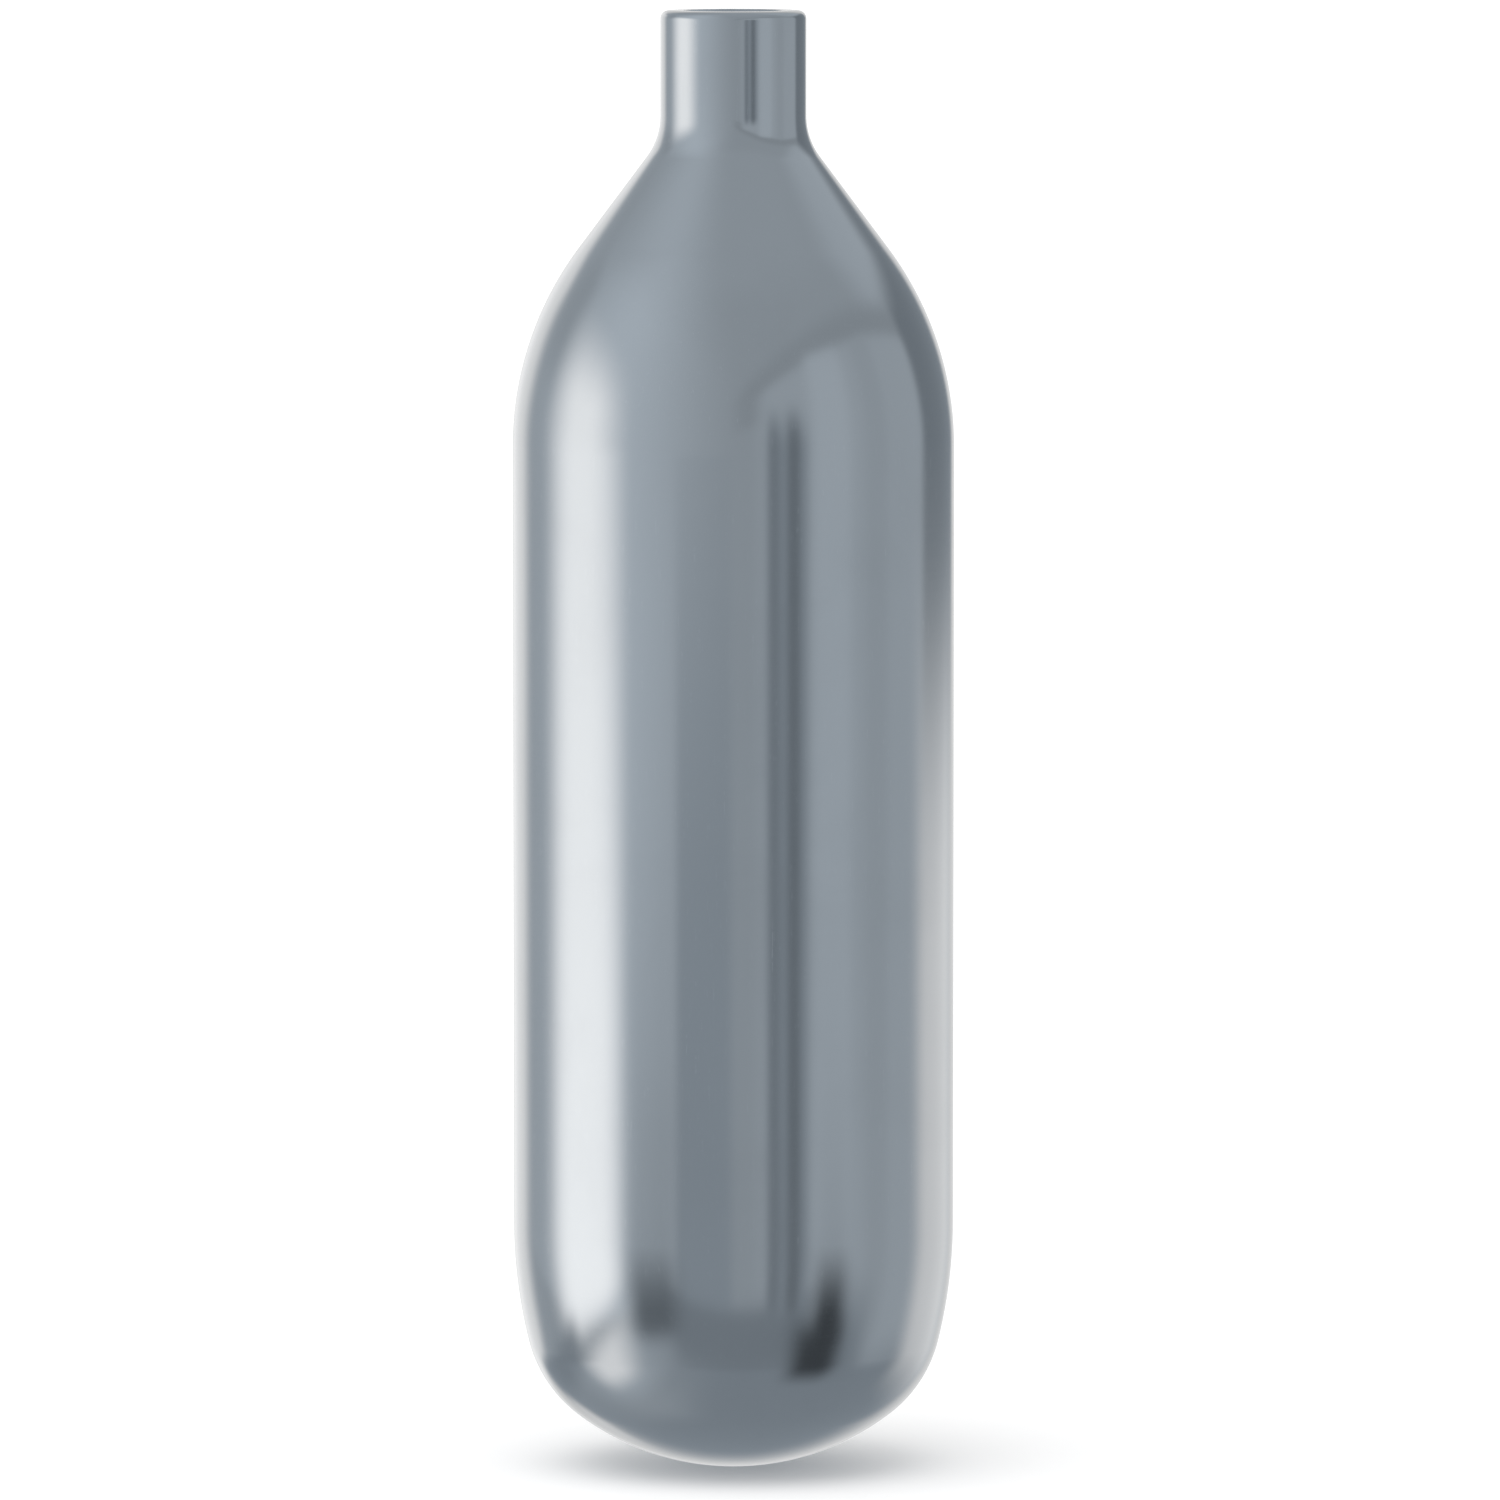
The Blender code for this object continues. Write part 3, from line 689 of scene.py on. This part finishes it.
def circlip_mesh(node, inner, sizes):
    """A flat spring ring, open on its +X side, with a plier hole in each end."""
    low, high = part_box(node)
    outer = -low.x
    width = outer - inner
    middle = (outer + inner) / 2
    level = (high.z + low.z) / 2
    mouth_turn = 2 * math.asin(sizes.ring_mouth / 2 / outer)
    mesh = bmesh.new()
    bmesh.ops.create_grid(mesh, x_segments=1, y_segments=1, size=0.5)
    stand(mesh, inner, outer, low.z, high.z)
    bmesh.ops.rotate(mesh, verts=mesh.verts, matrix=Matrix.Rotation(mouth_turn / 2, 3, "Z"))
    spin(mesh, 2 * math.pi - mouth_turn, sizes.steps)
    bmesh.ops.recalc_face_normals(mesh, faces=mesh.faces)
    lug_turn = mouth_turn / 2 + LUG_WIDTHS * width / middle
    for vert in mesh.verts:
        turn = abs(math.atan2(vert.co.y, vert.co.x)) - lug_turn
        if vert.co.xy.length < middle and turn > 0:
            push = sizes.ring_taper * math.sin(math.pi * turn / (math.pi - lug_turn)) ** 2
            vert.co.xy *= 1 + push / inner
    clip = round_edges(mesh, sizes.ring_edge)
    hole_turn = mouth_turn / 2 + width / 2 / middle
    for turn in (hole_turn, -hole_turn):
        drill = prism(sizes.seal_points, sizes.ring_hole, level - CUT_PAST, level + CUT_PAST)
        aside = (middle * math.cos(turn), middle * math.sin(turn), 0)
        bmesh.ops.translate(drill, verts=drill.verts, vec=aside)
        clip = cut(clip, drill)
    return clip


class TANK_OT_add_split_rings(bpy.types.Operator):
    """Add the spring rings that hold the vent screw and the filter"""

    bl_idname = "tank.add_split_rings"
    bl_label = "Add split rings"

    def execute(self, context):
        sizes = context.scene.tank_rings
        finish = turned_stainless(context.scene.tank_finishes)
        stop = circlip_mesh("vent_stop_ring", sizes.stop_inner, sizes)
        add_piece("bleed_circlip", stop, finish, "plug", "vent_stop_ring")
        keeper = circlip_mesh("filter_ring", sizes.filter_ring_inner, sizes)
        add_piece("filter_circlip", keeper, finish, "plug", "filter_ring")
        return {"FINISHED"}


class TANK_OT_add_filter(bpy.types.Operator):
    """Add the sintered filter disc"""

    bl_idname = "tank.add_filter"
    bl_label = "Add filter"

    def execute(self, context):
        sizes = context.scene.tank_rings
        low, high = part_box("debris_filter")
        chamfer = sizes.disc_chamfer
        disc = turned(
            sizes.steps,
            (0, high.z),
            (high.x - chamfer, high.z),
            (high.x, high.z - chamfer),
            (high.x, low.z + chamfer),
            (high.x - chamfer, low.z),
            (0, low.z),
        )
        finish = sintered_bronze(context.scene.tank_finishes)
        add_piece("filter_disc", disc, finish, "plug", "debris_filter")
        return {"FINISHED"}


NODE_SPACING = 200
# The Mix node's colour sockets, which share their names with its other sockets
MIX_BELOW, MIX_ABOVE, MIX_RESULT = 6, 7, 2


def feed(tree, socket, value):
    """Links an input to another socket, or sets it to a plain value."""
    if isinstance(value, bpy.types.NodeSocket):
        tree.links.new(value, socket)
    else:
        socket.default_value = value


def add_node(tree, kind, inputs=None, **settings):
    """A new node with its settings. Its inputs are plain values, or sockets to link."""
    node = tree.nodes.new(kind)
    node.location.x = NODE_SPACING * len(tree.nodes)
    for name, value in settings.items():
        setattr(node, name, value)
    for key, value in (inputs or {}).items():
        feed(tree, node.inputs[key], value)
    return node


def maths(tree, operation, *values):
    """The result of a Math node."""
    return add_node(tree, "ShaderNodeMath", dict(enumerate(values)), operation=operation).outputs[0]


def per(tree, size, part=1.0):
    """How often a size fits into a metre, or a part of that."""
    return maths(tree, "DIVIDE", part, size)


def ramp(tree, value, low, high, start=0.0, end=1.0):
    """A value eased from start to end as it goes from low to high."""
    spread = add_node(
        tree,
        "ShaderNodeMapRange",
        {"Value": value, "From Min": low, "From Max": high, "To Min": start, "To Max": end},
        interpolation_type="SMOOTHSTEP",
    )
    return spread.outputs["Result"]


def past(tree, value, edge, soft):
    """0 before an edge and 1 past it, eased over the softness on either side."""
    return ramp(tree, value, maths(tree, "SUBTRACT", edge, soft), maths(tree, "ADD", edge, soft))


def blend(tree, mask, below, above):
    """One colour laid over another through a mask."""
    colours = {MIX_BELOW: below, MIX_ABOVE: above}
    mixed = add_node(tree, "ShaderNodeMix", {"Factor": mask, **colours}, data_type="RGBA")
    return mixed.outputs[MIX_RESULT]


def toned(tint, level=1.0):
    """A colour at a level, ready for a socket."""
    return (*(level * channel for channel in tint), 1.0)


def noise(tree, place, scale, detail, **inputs):
    """The value of a noise texture. A W among its inputs gives the place a fourth part."""
    sockets = {"Vector": place, "Scale": scale, "Detail": detail, **inputs}
    dimensions = "4D" if "W" in inputs else "3D"
    return add_node(tree, "ShaderNodeTexNoise", sockets, noise_dimensions=dimensions).outputs["Fac"]


def about_axis(tree, place):
    """A place's X, Y and Z, and its distance from the axis."""
    parts = add_node(tree, "ShaderNodeSeparateXYZ", {"Vector": place}).outputs
    flat = add_node(tree, "ShaderNodeCombineXYZ", {"X": parts["X"], "Y": parts["Y"]}).outputs[0]
    reach = add_node(tree, "ShaderNodeVectorMath", {0: flat}, operation="LENGTH").outputs["Value"]
    return parts, reach


def turned_lines(tree, given):
    """Fine lines round the axis, which break up slowly along each turn."""
    parts, radius = about_axis(tree, given["Position"])
    fine = per(tree, given["Pitch"])
    slow = per(tree, given["Run"])
    stretched = {
        "X": maths(tree, "MULTIPLY", radius, fine),
        "Y": maths(tree, "MULTIPLY", parts["Z"], fine),
        "Z": maths(tree, "MULTIPLY", parts["X"], slow),
    }
    place = add_node(tree, "ShaderNodeCombineXYZ", stretched).outputs[0]
    along = maths(tree, "MULTIPLY", parts["Y"], slow)
    return [noise(tree, place, scale=1.0, detail=2.0, Roughness=0.6, W=along)]


def smudges(tree, given):
    """Soft marks left by hands and drying water."""
    scale = per(tree, given["Size"])
    broad = noise(tree, given["Position"], scale, detail=5.0, Roughness=0.55, Distortion=0.6)
    return [ramp(tree, broad, low=0.45, high=0.72)]


# Directions of the scratches, how far each is drawn out, and a scratch's width as a share of the patches
# that thin them out
SCRATCH_TURNS = ((0.3, 0.2, 0.5), (1.2, 0.9, 2.1), (2.3, 0.4, 1.1))
SCRATCH_STRETCH = (1.0, 1.0, 0.02)
SCRATCH_SHARE = 0.12


def scratches(tree, given):
    """Short hairline scratches in three directions, thinned out by patches."""
    patches = noise(tree, given["Position"], per(tree, given["Width"], SCRATCH_SHARE), detail=2.0)
    scale = per(tree, given["Width"])
    total = 0.0
    for turn in SCRATCH_TURNS:
        sockets = {"Vector": given["Position"], "Rotation": turn, "Scale": SCRATCH_STRETCH}
        drawn_out = add_node(tree, "ShaderNodeMapping", sockets).outputs[0]
        hairs = ramp(tree, noise(tree, drawn_out, scale, detail=0.0), low=0.74, high=0.80)
        total = maths(tree, "MAXIMUM", total, hairs)
    return [maths(tree, "MULTIPLY", total, ramp(tree, patches, low=0.48, high=0.66))]


def edge_wear(tree, given):
    """Bright, uneven wear along rounded edges."""
    uneven = noise(tree, given["Position"], per(tree, given["Size"]), detail=4.0)
    return [maths(tree, "MULTIPLY", given["Edge"], ramp(tree, uneven, low=0.35, high=0.6))]


def grains(tree, given):
    """Rounded grains, with a tone of its own for each."""
    sockets = {"Vector": given["Position"], "Scale": per(tree, given["Size"])}
    cells = add_node(tree, "ShaderNodeTexVoronoi", sockets).outputs
    tone = add_node(tree, "ShaderNodeSeparateColor", {"Color": cells["Color"]})
    return [maths(tree, "SUBTRACT", 1.0, cells["Distance"]), tone.outputs["Red"]]


# Painted reflections: what the polished wall reflects, painted as cards into the glow of the tent, which
# only reflections see. A card is placed as if it stood upright at an azimuth, which counts from the
# camera's side and to its right, and is turned from facing the tank by its last angle. Angles are degrees,
# and a level of 1 is white.
Card = namedtuple(
    "Card",
    "name facing half_width side_soft low low_soft high high_soft level tint turn",
    defaults=(0,),
)
CARD_ANGLES = [field for field in Card._fields if field not in ("name", "level", "tint")]
NEUTRAL = (1.0, 1.0, 1.0)
COOL = (0.905, 1.0, 1.09)
DEEP = (0.88, 1.0, 1.12)
CARDS = (
    Card("table sheen", -85, 45, 45, -75, 11, -33, 4, 0.66, COOL),
    Card("left wash", -69, 39, 40, -27, 2, 66, 24, 1.02, COOL),
    Card("right wash", 125, 25, 15, 33, 4, 70, 10, 0.80, COOL),
    Card("backdrop", 180, 28, 6, -43, 12, 60, 20, 0.92, NEUTRAL),
    Card("left strip", -151, 16, 8, -24.5, 3, 26, 4, 1.28, NEUTRAL),
    Card("left shade", -123, 12, 10, 16, 8, 37, 4, 0.65, COOL),
    Card("panel shadow", 65, 62, 8, 20, 3, 41, 4, 0.57, COOL),
    Card("side panel", 65, 52, 6, -36, 7, 33.2, 2, 0.75, COOL),
    Card("panel light", 52, 11, 5, -30, 6, 33.2, 2, 0.85, COOL),
    Card("panel shade", 79, 7, 4, -30, 6, 32, 2, 0.70, COOL),
    Card("front shade", -15, 14, 3, -28, 3, -3, 6, 0.57, DEEP),
    Card("table front", 3, 38, 6, -42, 5, -27, 2, 0.43, DEEP),
    Card("post shade", 28, 10.5, 3, -28, 2, 11, 9, 0.53, DEEP),
    Card("front post", 20.5, 2.6, 2, -27, 2, 12, 8, 0.39, DEEP),
    Card("rear post", 31, 3.2, 2, -27, 2, 13, 8, 0.32, DEEP),
    Card("dark screen", 136.5, 21, 4, -4, 3.5, 30, 5, 0.38, DEEP),
    Card("white sill", 131, 20, 9, -33.5, 15, -4.4, 3.5, 1.25, NEUTRAL, 12),
    Card("softbox", -85, 18.5, 15, -26, 4, 24, 12, 1.97, NEUTRAL, 15),
    Card("softbox heart", -82, 18.5, 10, -25.5, 4.5, -4, 12, 2.2, NEUTRAL, 15),
    Card("table edge", -124, 25, 7, -39, 5, -27, 2.5, 0.47, DEEP),
    Card("table rim", -159, 8, 6, -41, 3, -34, 2, 1.05, NEUTRAL),
    Card("table halo", -75, 25, 30, -56, 8, -32, 3, 0.85, COOL, 20),
    Card("table glow", -79, 16, 13, -47, 7, -30, 4, 1.62, NEUTRAL, 20),
    Card("small foot", -43, 13, 8, -32, 3, -15, 13, 0.26, DEEP),
    Card("foot shade", 66, 12, 8, -50, 6, -24, 9, 0.48, DEEP),
    Card("dark foot", 52.5, 8.5, 6, -33, 3, -17.5, 10.5, 0.09, DEEP),
    Card("dark foot's root", 48.5, 14, 8, -47.5, 9, -29, 4, 0.10, DEEP, 12),
)
# Levels of the painted room, table and ceiling that the wall reflects behind the cards
TABLE_LEVEL = 0.50
TABLE_EDGE = (-30, -25)
ROOM_LEVEL = 0.66
CEILING_EDGE = (48, 66)
CEILING_LEVEL = 0.695


def studio_card(tree, given):
    """Where a card shows in the tent: its sides by azimuth, its ends by straight level edges."""
    off = maths(tree, "SUBTRACT", given["azimuth"], given["facing"])
    off = maths(tree, "WRAP", off, math.pi, -math.pi)
    across = maths(tree, "COSINE", maths(tree, "ADD", off, given["turn"]))
    ahead = maths(tree, "MULTIPLY", given["reach"], across)
    rise = maths(tree, "MULTIPLY", given["height"], maths(tree, "COSINE", given["turn"]))
    level = maths(tree, "ARCTAN2", rise, ahead)
    beside = past(tree, maths(tree, "ABSOLUTE", off), given["half_width"], given["side_soft"])
    above_low = past(tree, level, given["low"], given["low_soft"])
    above_high = past(tree, level, given["high"], given["high_soft"])
    between = maths(tree, "SUBTRACT", above_low, above_high)
    return [maths(tree, "MULTIPLY", maths(tree, "SUBTRACT", 1.0, beside), between)]


# Each shared effect's builder, inputs and outputs
EFFECTS = {
    "turned lines": (turned_lines, ("Position", "Pitch", "Run"), ("Height",)),
    "smudges": (smudges, ("Position", "Size"), ("Mask",)),
    "hairline scratches": (scratches, ("Position", "Width"), ("Mask",)),
    "edge wear": (edge_wear, ("Position", "Edge", "Size"), ("Mask",)),
    "grains": (grains, ("Position", "Size"), ("Height", "Tone")),
    "studio card": (studio_card, ("azimuth", "height", "reach", *CARD_ANGLES), ("Mask",)),
}


def effect_group(name):
    """The node group of a shared effect, which is built once."""
    group = bpy.data.node_groups.get(name)
    if group:
        return group
    build, inputs, outputs = EFFECTS[name]
    group = bpy.data.node_groups.new(name, "ShaderNodeTree")
    for label in inputs:
        kind = "NodeSocketVector" if label == "Position" else "NodeSocketFloat"
        group.interface.new_socket(label, in_out="INPUT", socket_type=kind)
    for label in outputs:
        group.interface.new_socket(label, in_out="OUTPUT", socket_type="NodeSocketFloat")
    given = add_node(group, "NodeGroupInput")
    add_node(group, "NodeGroupOutput", dict(zip(outputs, build(group, given.outputs))))
    return group


def use(tree, effect, inputs, **settings):
    """The outputs of a shared effect placed in a tree."""
    group = effect_group(effect)
    return add_node(tree, "ShaderNodeGroup", inputs, node_tree=group, **settings).outputs


class Finish:
    """A material under construction, with the colour and the roughness that are laid down so far."""

    def __init__(self, name, base, metallic=1.0):
        self.material = bpy.data.materials.new(name)
        self.material.use_nodes = True
        self.tree = self.material.node_tree
        self.shader = self.tree.nodes["Principled BSDF"]
        self.shader.inputs["Metallic"].default_value = metallic
        self.position = add_node(self.tree, "ShaderNodeTexCoord").outputs["Object"]
        self.tone = base
        self.roughness = 0.5

    def layer(self, effect, **values):
        """A shared effect's outputs, read at the piece's own coordinates."""
        return use(self.tree, effect, {"Position": self.position, **values})

    def edges(self):
        """The piece's own mark on its rounded edges or its mould line."""
        return add_node(self.tree, "ShaderNodeAttribute", attribute_name=EDGE_MARK).outputs["Fac"]

    def lay(self, mask, tone, cover=1.0, roughen=0.0):
        """Lays a colour over the finish through a mask, and roughens it there."""
        covered = maths(self.tree, "MULTIPLY", mask, cover) if cover < 1.0 else mask
        self.tone = blend(self.tree, covered, self.tone, tone)
        if roughen:
            self.roughness = maths(self.tree, "MULTIPLY_ADD", mask, roughen, self.roughness)

    def turn(self, pitch, run, depth, strength, contrast, smooth, rough):
        """Lines left by turning or polishing, which vary the roughness and stand out a little."""
        lines = self.layer("turned lines", Pitch=pitch, Run=run)["Height"]
        self.roughness = ramp(self.tree, lines, *contrast, smooth, rough)
        self.relief(lines, depth, strength)

    def smudge(self, size, tone, **amounts):
        self.lay(self.layer("smudges", Size=size)["Mask"], tone, **amounts)

    def scratch(self, width, tone, **amounts):
        self.lay(self.layer("hairline scratches", Width=width)["Mask"], tone, **amounts)

    def wear(self, size, tone):
        self.lay(self.layer("edge wear", Edge=self.edges(), Size=size)["Mask"], tone)

    def relief(self, height, depth, strength=1.0):
        """Small forms that the surface has, as a bump of a depth."""
        sockets = {"Height": height, "Distance": depth, "Strength": strength}
        bump = add_node(self.tree, "ShaderNodeBump", sockets)
        feed(self.tree, self.shader.inputs["Normal"], bump.outputs["Normal"])

    def done(self):
        feed(self.tree, self.shader.inputs["Base Color"], self.tone)
        feed(self.tree, self.shader.inputs["Roughness"], self.roughness)
        return self.material


# How far the polished lines go to either side of the steel's roughness
POLISH_SPREAD = 0.015


def polished_steel(finishes):
    """Bright steel, polished round the axis, with faint smudges and hairlines."""
    steel = finishes.steel
    blur = finishes.steel_roughness
    finish = Finish("polished_steel", toned(steel))
    finish.turn(
        pitch=0.25 * MM,
        run=30 * MM,
        depth=0.002 * MM,
        strength=0.35,
        contrast=(0.2, 0.8),
        smooth=blur - POLISH_SPREAD,
        rough=blur + POLISH_SPREAD,
    )
    finish.smudge(70 * MM, toned(steel, 0.975), roughen=0.02)
    finish.scratch(0.35 * MM, toned(steel, 1.25), cover=0.25, roughen=0.08)
    finish.wear(2 * MM, toned(steel, 1.3))
    return finish.done()


def turned_brass(finishes):
    """Lathe-turned brass, a little tarnished, bright where its edges are rubbed."""
    brass = finishes.brass
    finish = Finish("turned_brass", toned(brass))
    finish.turn(
        pitch=0.35 * MM,
        run=12 * MM,
        depth=0.02 * MM,
        strength=0.8,
        contrast=(0.25, 0.75),
        smooth=0.22,
        rough=0.34,
    )
    finish.smudge(9 * MM, toned(finishes.tarnish), cover=0.35, roughen=0.12)
    finish.scratch(0.12 * MM, toned(brass, 1.15), cover=0.5)
    finish.wear(0.8 * MM, toned(brass, 1.2))
    return finish.done()


def turned_stainless(finishes):
    """Bright turned stainless steel, shared by the vent screw and the split rings."""
    made = bpy.data.materials.get("turned_stainless")
    if made:
        return made
    stainless = finishes.stainless
    finish = Finish("turned_stainless", toned(stainless))
    finish.turn(
        pitch=0.12 * MM,
        run=8 * MM,
        depth=0.008 * MM,
        strength=0.5,
        contrast=(0.25, 0.75),
        smooth=0.2,
        rough=0.32,
    )
    finish.scratch(0.1 * MM, toned(stainless, 0.8))
    finish.wear(0.6 * MM, toned(stainless, 1.2))
    return finish.done()


# How far a mould line stands out, in heights of the rubber's grain
MOULD_LINE = 2.0


def seal_rubber(finishes):
    """Matt black rubber with a fine grain and a mould line."""
    finish = Finish("seal_rubber", toned(finishes.rubber), metallic=0.0)
    finish.smudge(6 * MM, toned(finishes.rubber, 1.8))
    grain = finish.layer("grains", Size=0.12 * MM)
    finish.roughness = ramp(finish.tree, grain["Tone"], low=0.0, high=1.0, start=0.5, end=0.68)
    height = maths(finish.tree, "MULTIPLY_ADD", finish.edges(), MOULD_LINE, grain["Height"])
    finish.relief(height, 0.02 * MM, strength=0.6)
    return finish.done()


def sintered_bronze(finishes):
    """Bronze beads sintered into a porous disc."""
    bronze = finishes.bronze
    finish = Finish("sintered_bronze", toned(bronze, 0.75))
    beads = finish.layer("grains", Size=0.35 * MM)
    finish.lay(beads["Tone"], toned(bronze, 1.2))
    # Painted shade: the gaps between the beads are darkened for the shade inside the pores
    pore_shade = ramp(finish.tree, beads["Height"], low=0.35, high=0.6, start=1.0, end=0.0)
    finish.lay(pore_shade, toned(bronze, 0.12))
    finish.roughness = ramp(finish.tree, beads["Tone"], low=0.0, high=1.0, start=0.55, end=0.8)
    finish.relief(beads["Height"], 0.15 * MM)
    return finish.done()


def tent_light():
    """The tent's glow, painted reflections that only reflections see: a room above a table, with the cards
    laid over them.
    """
    material = bpy.data.materials.new("tent_light")
    material.use_nodes = True
    tree = material.node_tree
    tree.nodes.clear()
    parts, reach = about_axis(tree, add_node(tree, "ShaderNodeTexCoord").outputs["Object"])
    azimuth = maths(tree, "ARCTAN2", parts["X"], maths(tree, "MULTIPLY", parts["Y"], -1.0))
    elevation = maths(tree, "ARCTAN2", parts["Z"], reach)
    glow = toned(DEEP, TABLE_LEVEL)
    for edge, level in ((TABLE_EDGE, ROOM_LEVEL), (CEILING_EDGE, CEILING_LEVEL)):
        above = ramp(tree, elevation, *(math.radians(end) for end in edge))
        glow = blend(tree, above, glow, toned(COOL, level))
    for card in CARDS:
        sockets = {field: math.radians(getattr(card, field)) for field in CARD_ANGLES}
        sockets.update(azimuth=azimuth, height=parts["Z"], reach=reach)
        mask = use(tree, "studio card", sockets, label=card.name)["Mask"]
        glow = blend(tree, mask, glow, toned(card.tint, card.level))
    shine = add_node(tree, "ShaderNodeEmission", {"Color": glow, "Strength": 1.0})
    add_node(tree, "ShaderNodeOutputMaterial", {"Surface": shine.outputs[0]})
    material.cycles.emission_sampling = "NONE"
    return material


def floor_finish(studio):
    """A plain pale floor, clear from below."""
    material = bpy.data.materials.new("pale_floor")
    material.use_nodes = True
    tree = material.node_tree
    shader = tree.nodes["Principled BSDF"]
    seen = add_node(tree, "ShaderNodeLightPath").outputs["Is Camera Ray"]
    sockets = {
        "Base Color": toned(NEUTRAL, studio.floor_tone),
        "Roughness": 1.0,
        "Specular IOR Level": 0.0,
        "Emission Color": toned(NEUTRAL),
        "Emission Strength": maths(tree, "MULTIPLY", seen, studio.floor_lift),
    }
    for name, value in sockets.items():
        feed(tree, shader.inputs[name], value)
    side = add_node(tree, "ShaderNodeNewGeometry").outputs["Backfacing"]
    clear = add_node(tree, "ShaderNodeBsdfTransparent").outputs[0]
    both = add_node(tree, "ShaderNodeMixShader", {0: side, 1: shader.outputs[0], 2: clear})
    feed(tree, tree.nodes["Material Output"].inputs["Surface"], both.outputs[0])
    return material


def white_world(ambient):
    """White to the camera and in reflections, and soft light from all sides for the rest."""
    world = bpy.data.worlds.new("white_room")
    world.use_nodes = True
    tree = world.node_tree
    rays = add_node(tree, "ShaderNodeLightPath").outputs
    seen = maths(tree, "MAXIMUM", rays["Is Camera Ray"], rays["Is Glossy Ray"])
    seen = maths(tree, "MAXIMUM", seen, rays["Is Transmission Ray"])
    background = tree.nodes["Background"]
    background.inputs["Color"].default_value = toned(NEUTRAL)
    strength = maths(tree, "MULTIPLY_ADD", seen, 1.0 - ambient, ambient)
    feed(tree, background.inputs["Strength"], strength)
    return world


class TANK_OT_add_stage(bpy.types.Operator):
    """Add the floor, the light tent, the key light and the camera"""

    bl_idname = "tank.add_stage"
    bl_label = "Add stage"

    def execute(self, context):
        studio = context.scene.tank_studio
        context.scene.world = white_world(studio.ambient)
        context.scene.view_settings.view_transform = "Standard"
        self.add_floor(studio)
        self.add_tent(studio)
        self.add_key(context, studio)
        self.add_camera(context, studio)
        return {"FINISHED"}

    def add_floor(self, studio):
        mesh = bmesh.new()
        bmesh.ops.create_circle(mesh, cap_ends=True, segments=FLOOR_STEPS, radius=studio.floor_radius)
        floor = as_object("floor", mesh)
        floor.data.materials.append(floor_finish(studio))
        floor.visible_glossy = False

    def add_tent(self, studio):
        mesh = bmesh.new()
        bmesh.ops.create_uvsphere(
            mesh, u_segments=TENT_STEPS, v_segments=TENT_STEPS // 2, radius=studio.tent_radius
        )
        tent = as_object("light_tent", mesh)
        tent.location.z = studio.tent_height
        tent.data.materials.append(tent_light())
        tent.visible_camera = False
        tent.visible_diffuse = False
        tent.visible_transmission = False
        tent.visible_shadow = False

    def add_key(self, context, studio):
        light = bpy.data.lights.new("key", "SUN")
        light.energy = studio.key
        light.angle = studio.key_spread
        key = bpy.data.objects.new("key", light)
        key.rotation_euler = (studio.key_tilt, studio.key_lean, 0)
        key.visible_glossy = False
        context.scene.collection.objects.link(key)

    def add_camera(self, context, studio):
        lens = bpy.data.cameras.new("camera")
        lens.lens = lens.sensor_width * studio.camera_distance / studio.frame_height
        camera = bpy.data.objects.new("camera", lens)
        aim = Vector((studio.aim_side, 0, studio.aim_height))
        back = Vector((0, -math.cos(studio.camera_rise), math.sin(studio.camera_rise)))
        camera.location = aim + back * studio.camera_distance
        camera.rotation_euler = (math.pi / 2 - studio.camera_rise, 0, 0)
        context.scene.collection.objects.link(camera)
        context.scene.camera = camera


SETTINGS = {
    "tank_shell": TankShellSizes,
    "tank_plug": TankPlugSizes,
    "tank_vent": TankVentSizes,
    "tank_rings": TankRingSizes,
    "tank_finishes": TankFinishes,
    "tank_studio": TankStudio,
}
OPERATORS = (
    TANK_OT_add_shell,
    TANK_OT_add_plug,
    TANK_OT_add_vent_screw,
    TANK_OT_add_seals,
    TANK_OT_add_split_rings,
    TANK_OT_add_filter,
    TANK_OT_add_stage,
)


class TANK_PT_tools(bpy.types.Panel):
    """Lists the tank's settings and the operators that build it"""

    bl_idname = "TANK_PT_tools"
    bl_label = "Scuba tank"
    bl_space_type = "VIEW_3D"
    bl_region_type = "UI"
    bl_category = "Tank"

    def draw(self, context):
        for name, group in SETTINGS.items():
            box = self.layout.box()
            for setting in group.__annotations__:
                box.prop(getattr(context.scene, name), setting)
        for operator in OPERATORS:
            self.layout.operator(operator.bl_idname)


CLASSES = (*SETTINGS.values(), *OPERATORS, TANK_PT_tools)


def register():
    for made in CLASSES:
        bpy.utils.register_class(made)
    for name, group in SETTINGS.items():
        setattr(bpy.types.Scene, name, PointerProperty(type=group))


def unregister():
    for name in SETTINGS:
        delattr(bpy.types.Scene, name)
    for made in reversed(CLASSES):
        bpy.utils.unregister_class(made)


def main():
    register()
    bpy.ops.tank.add_shell()
    bpy.ops.tank.add_plug()
    bpy.ops.tank.add_vent_screw()
    bpy.ops.tank.add_seals()
    bpy.ops.tank.add_split_rings()
    bpy.ops.tank.add_filter()
    bpy.ops.tank.add_stage()


if __name__ == "__main__":
    main()
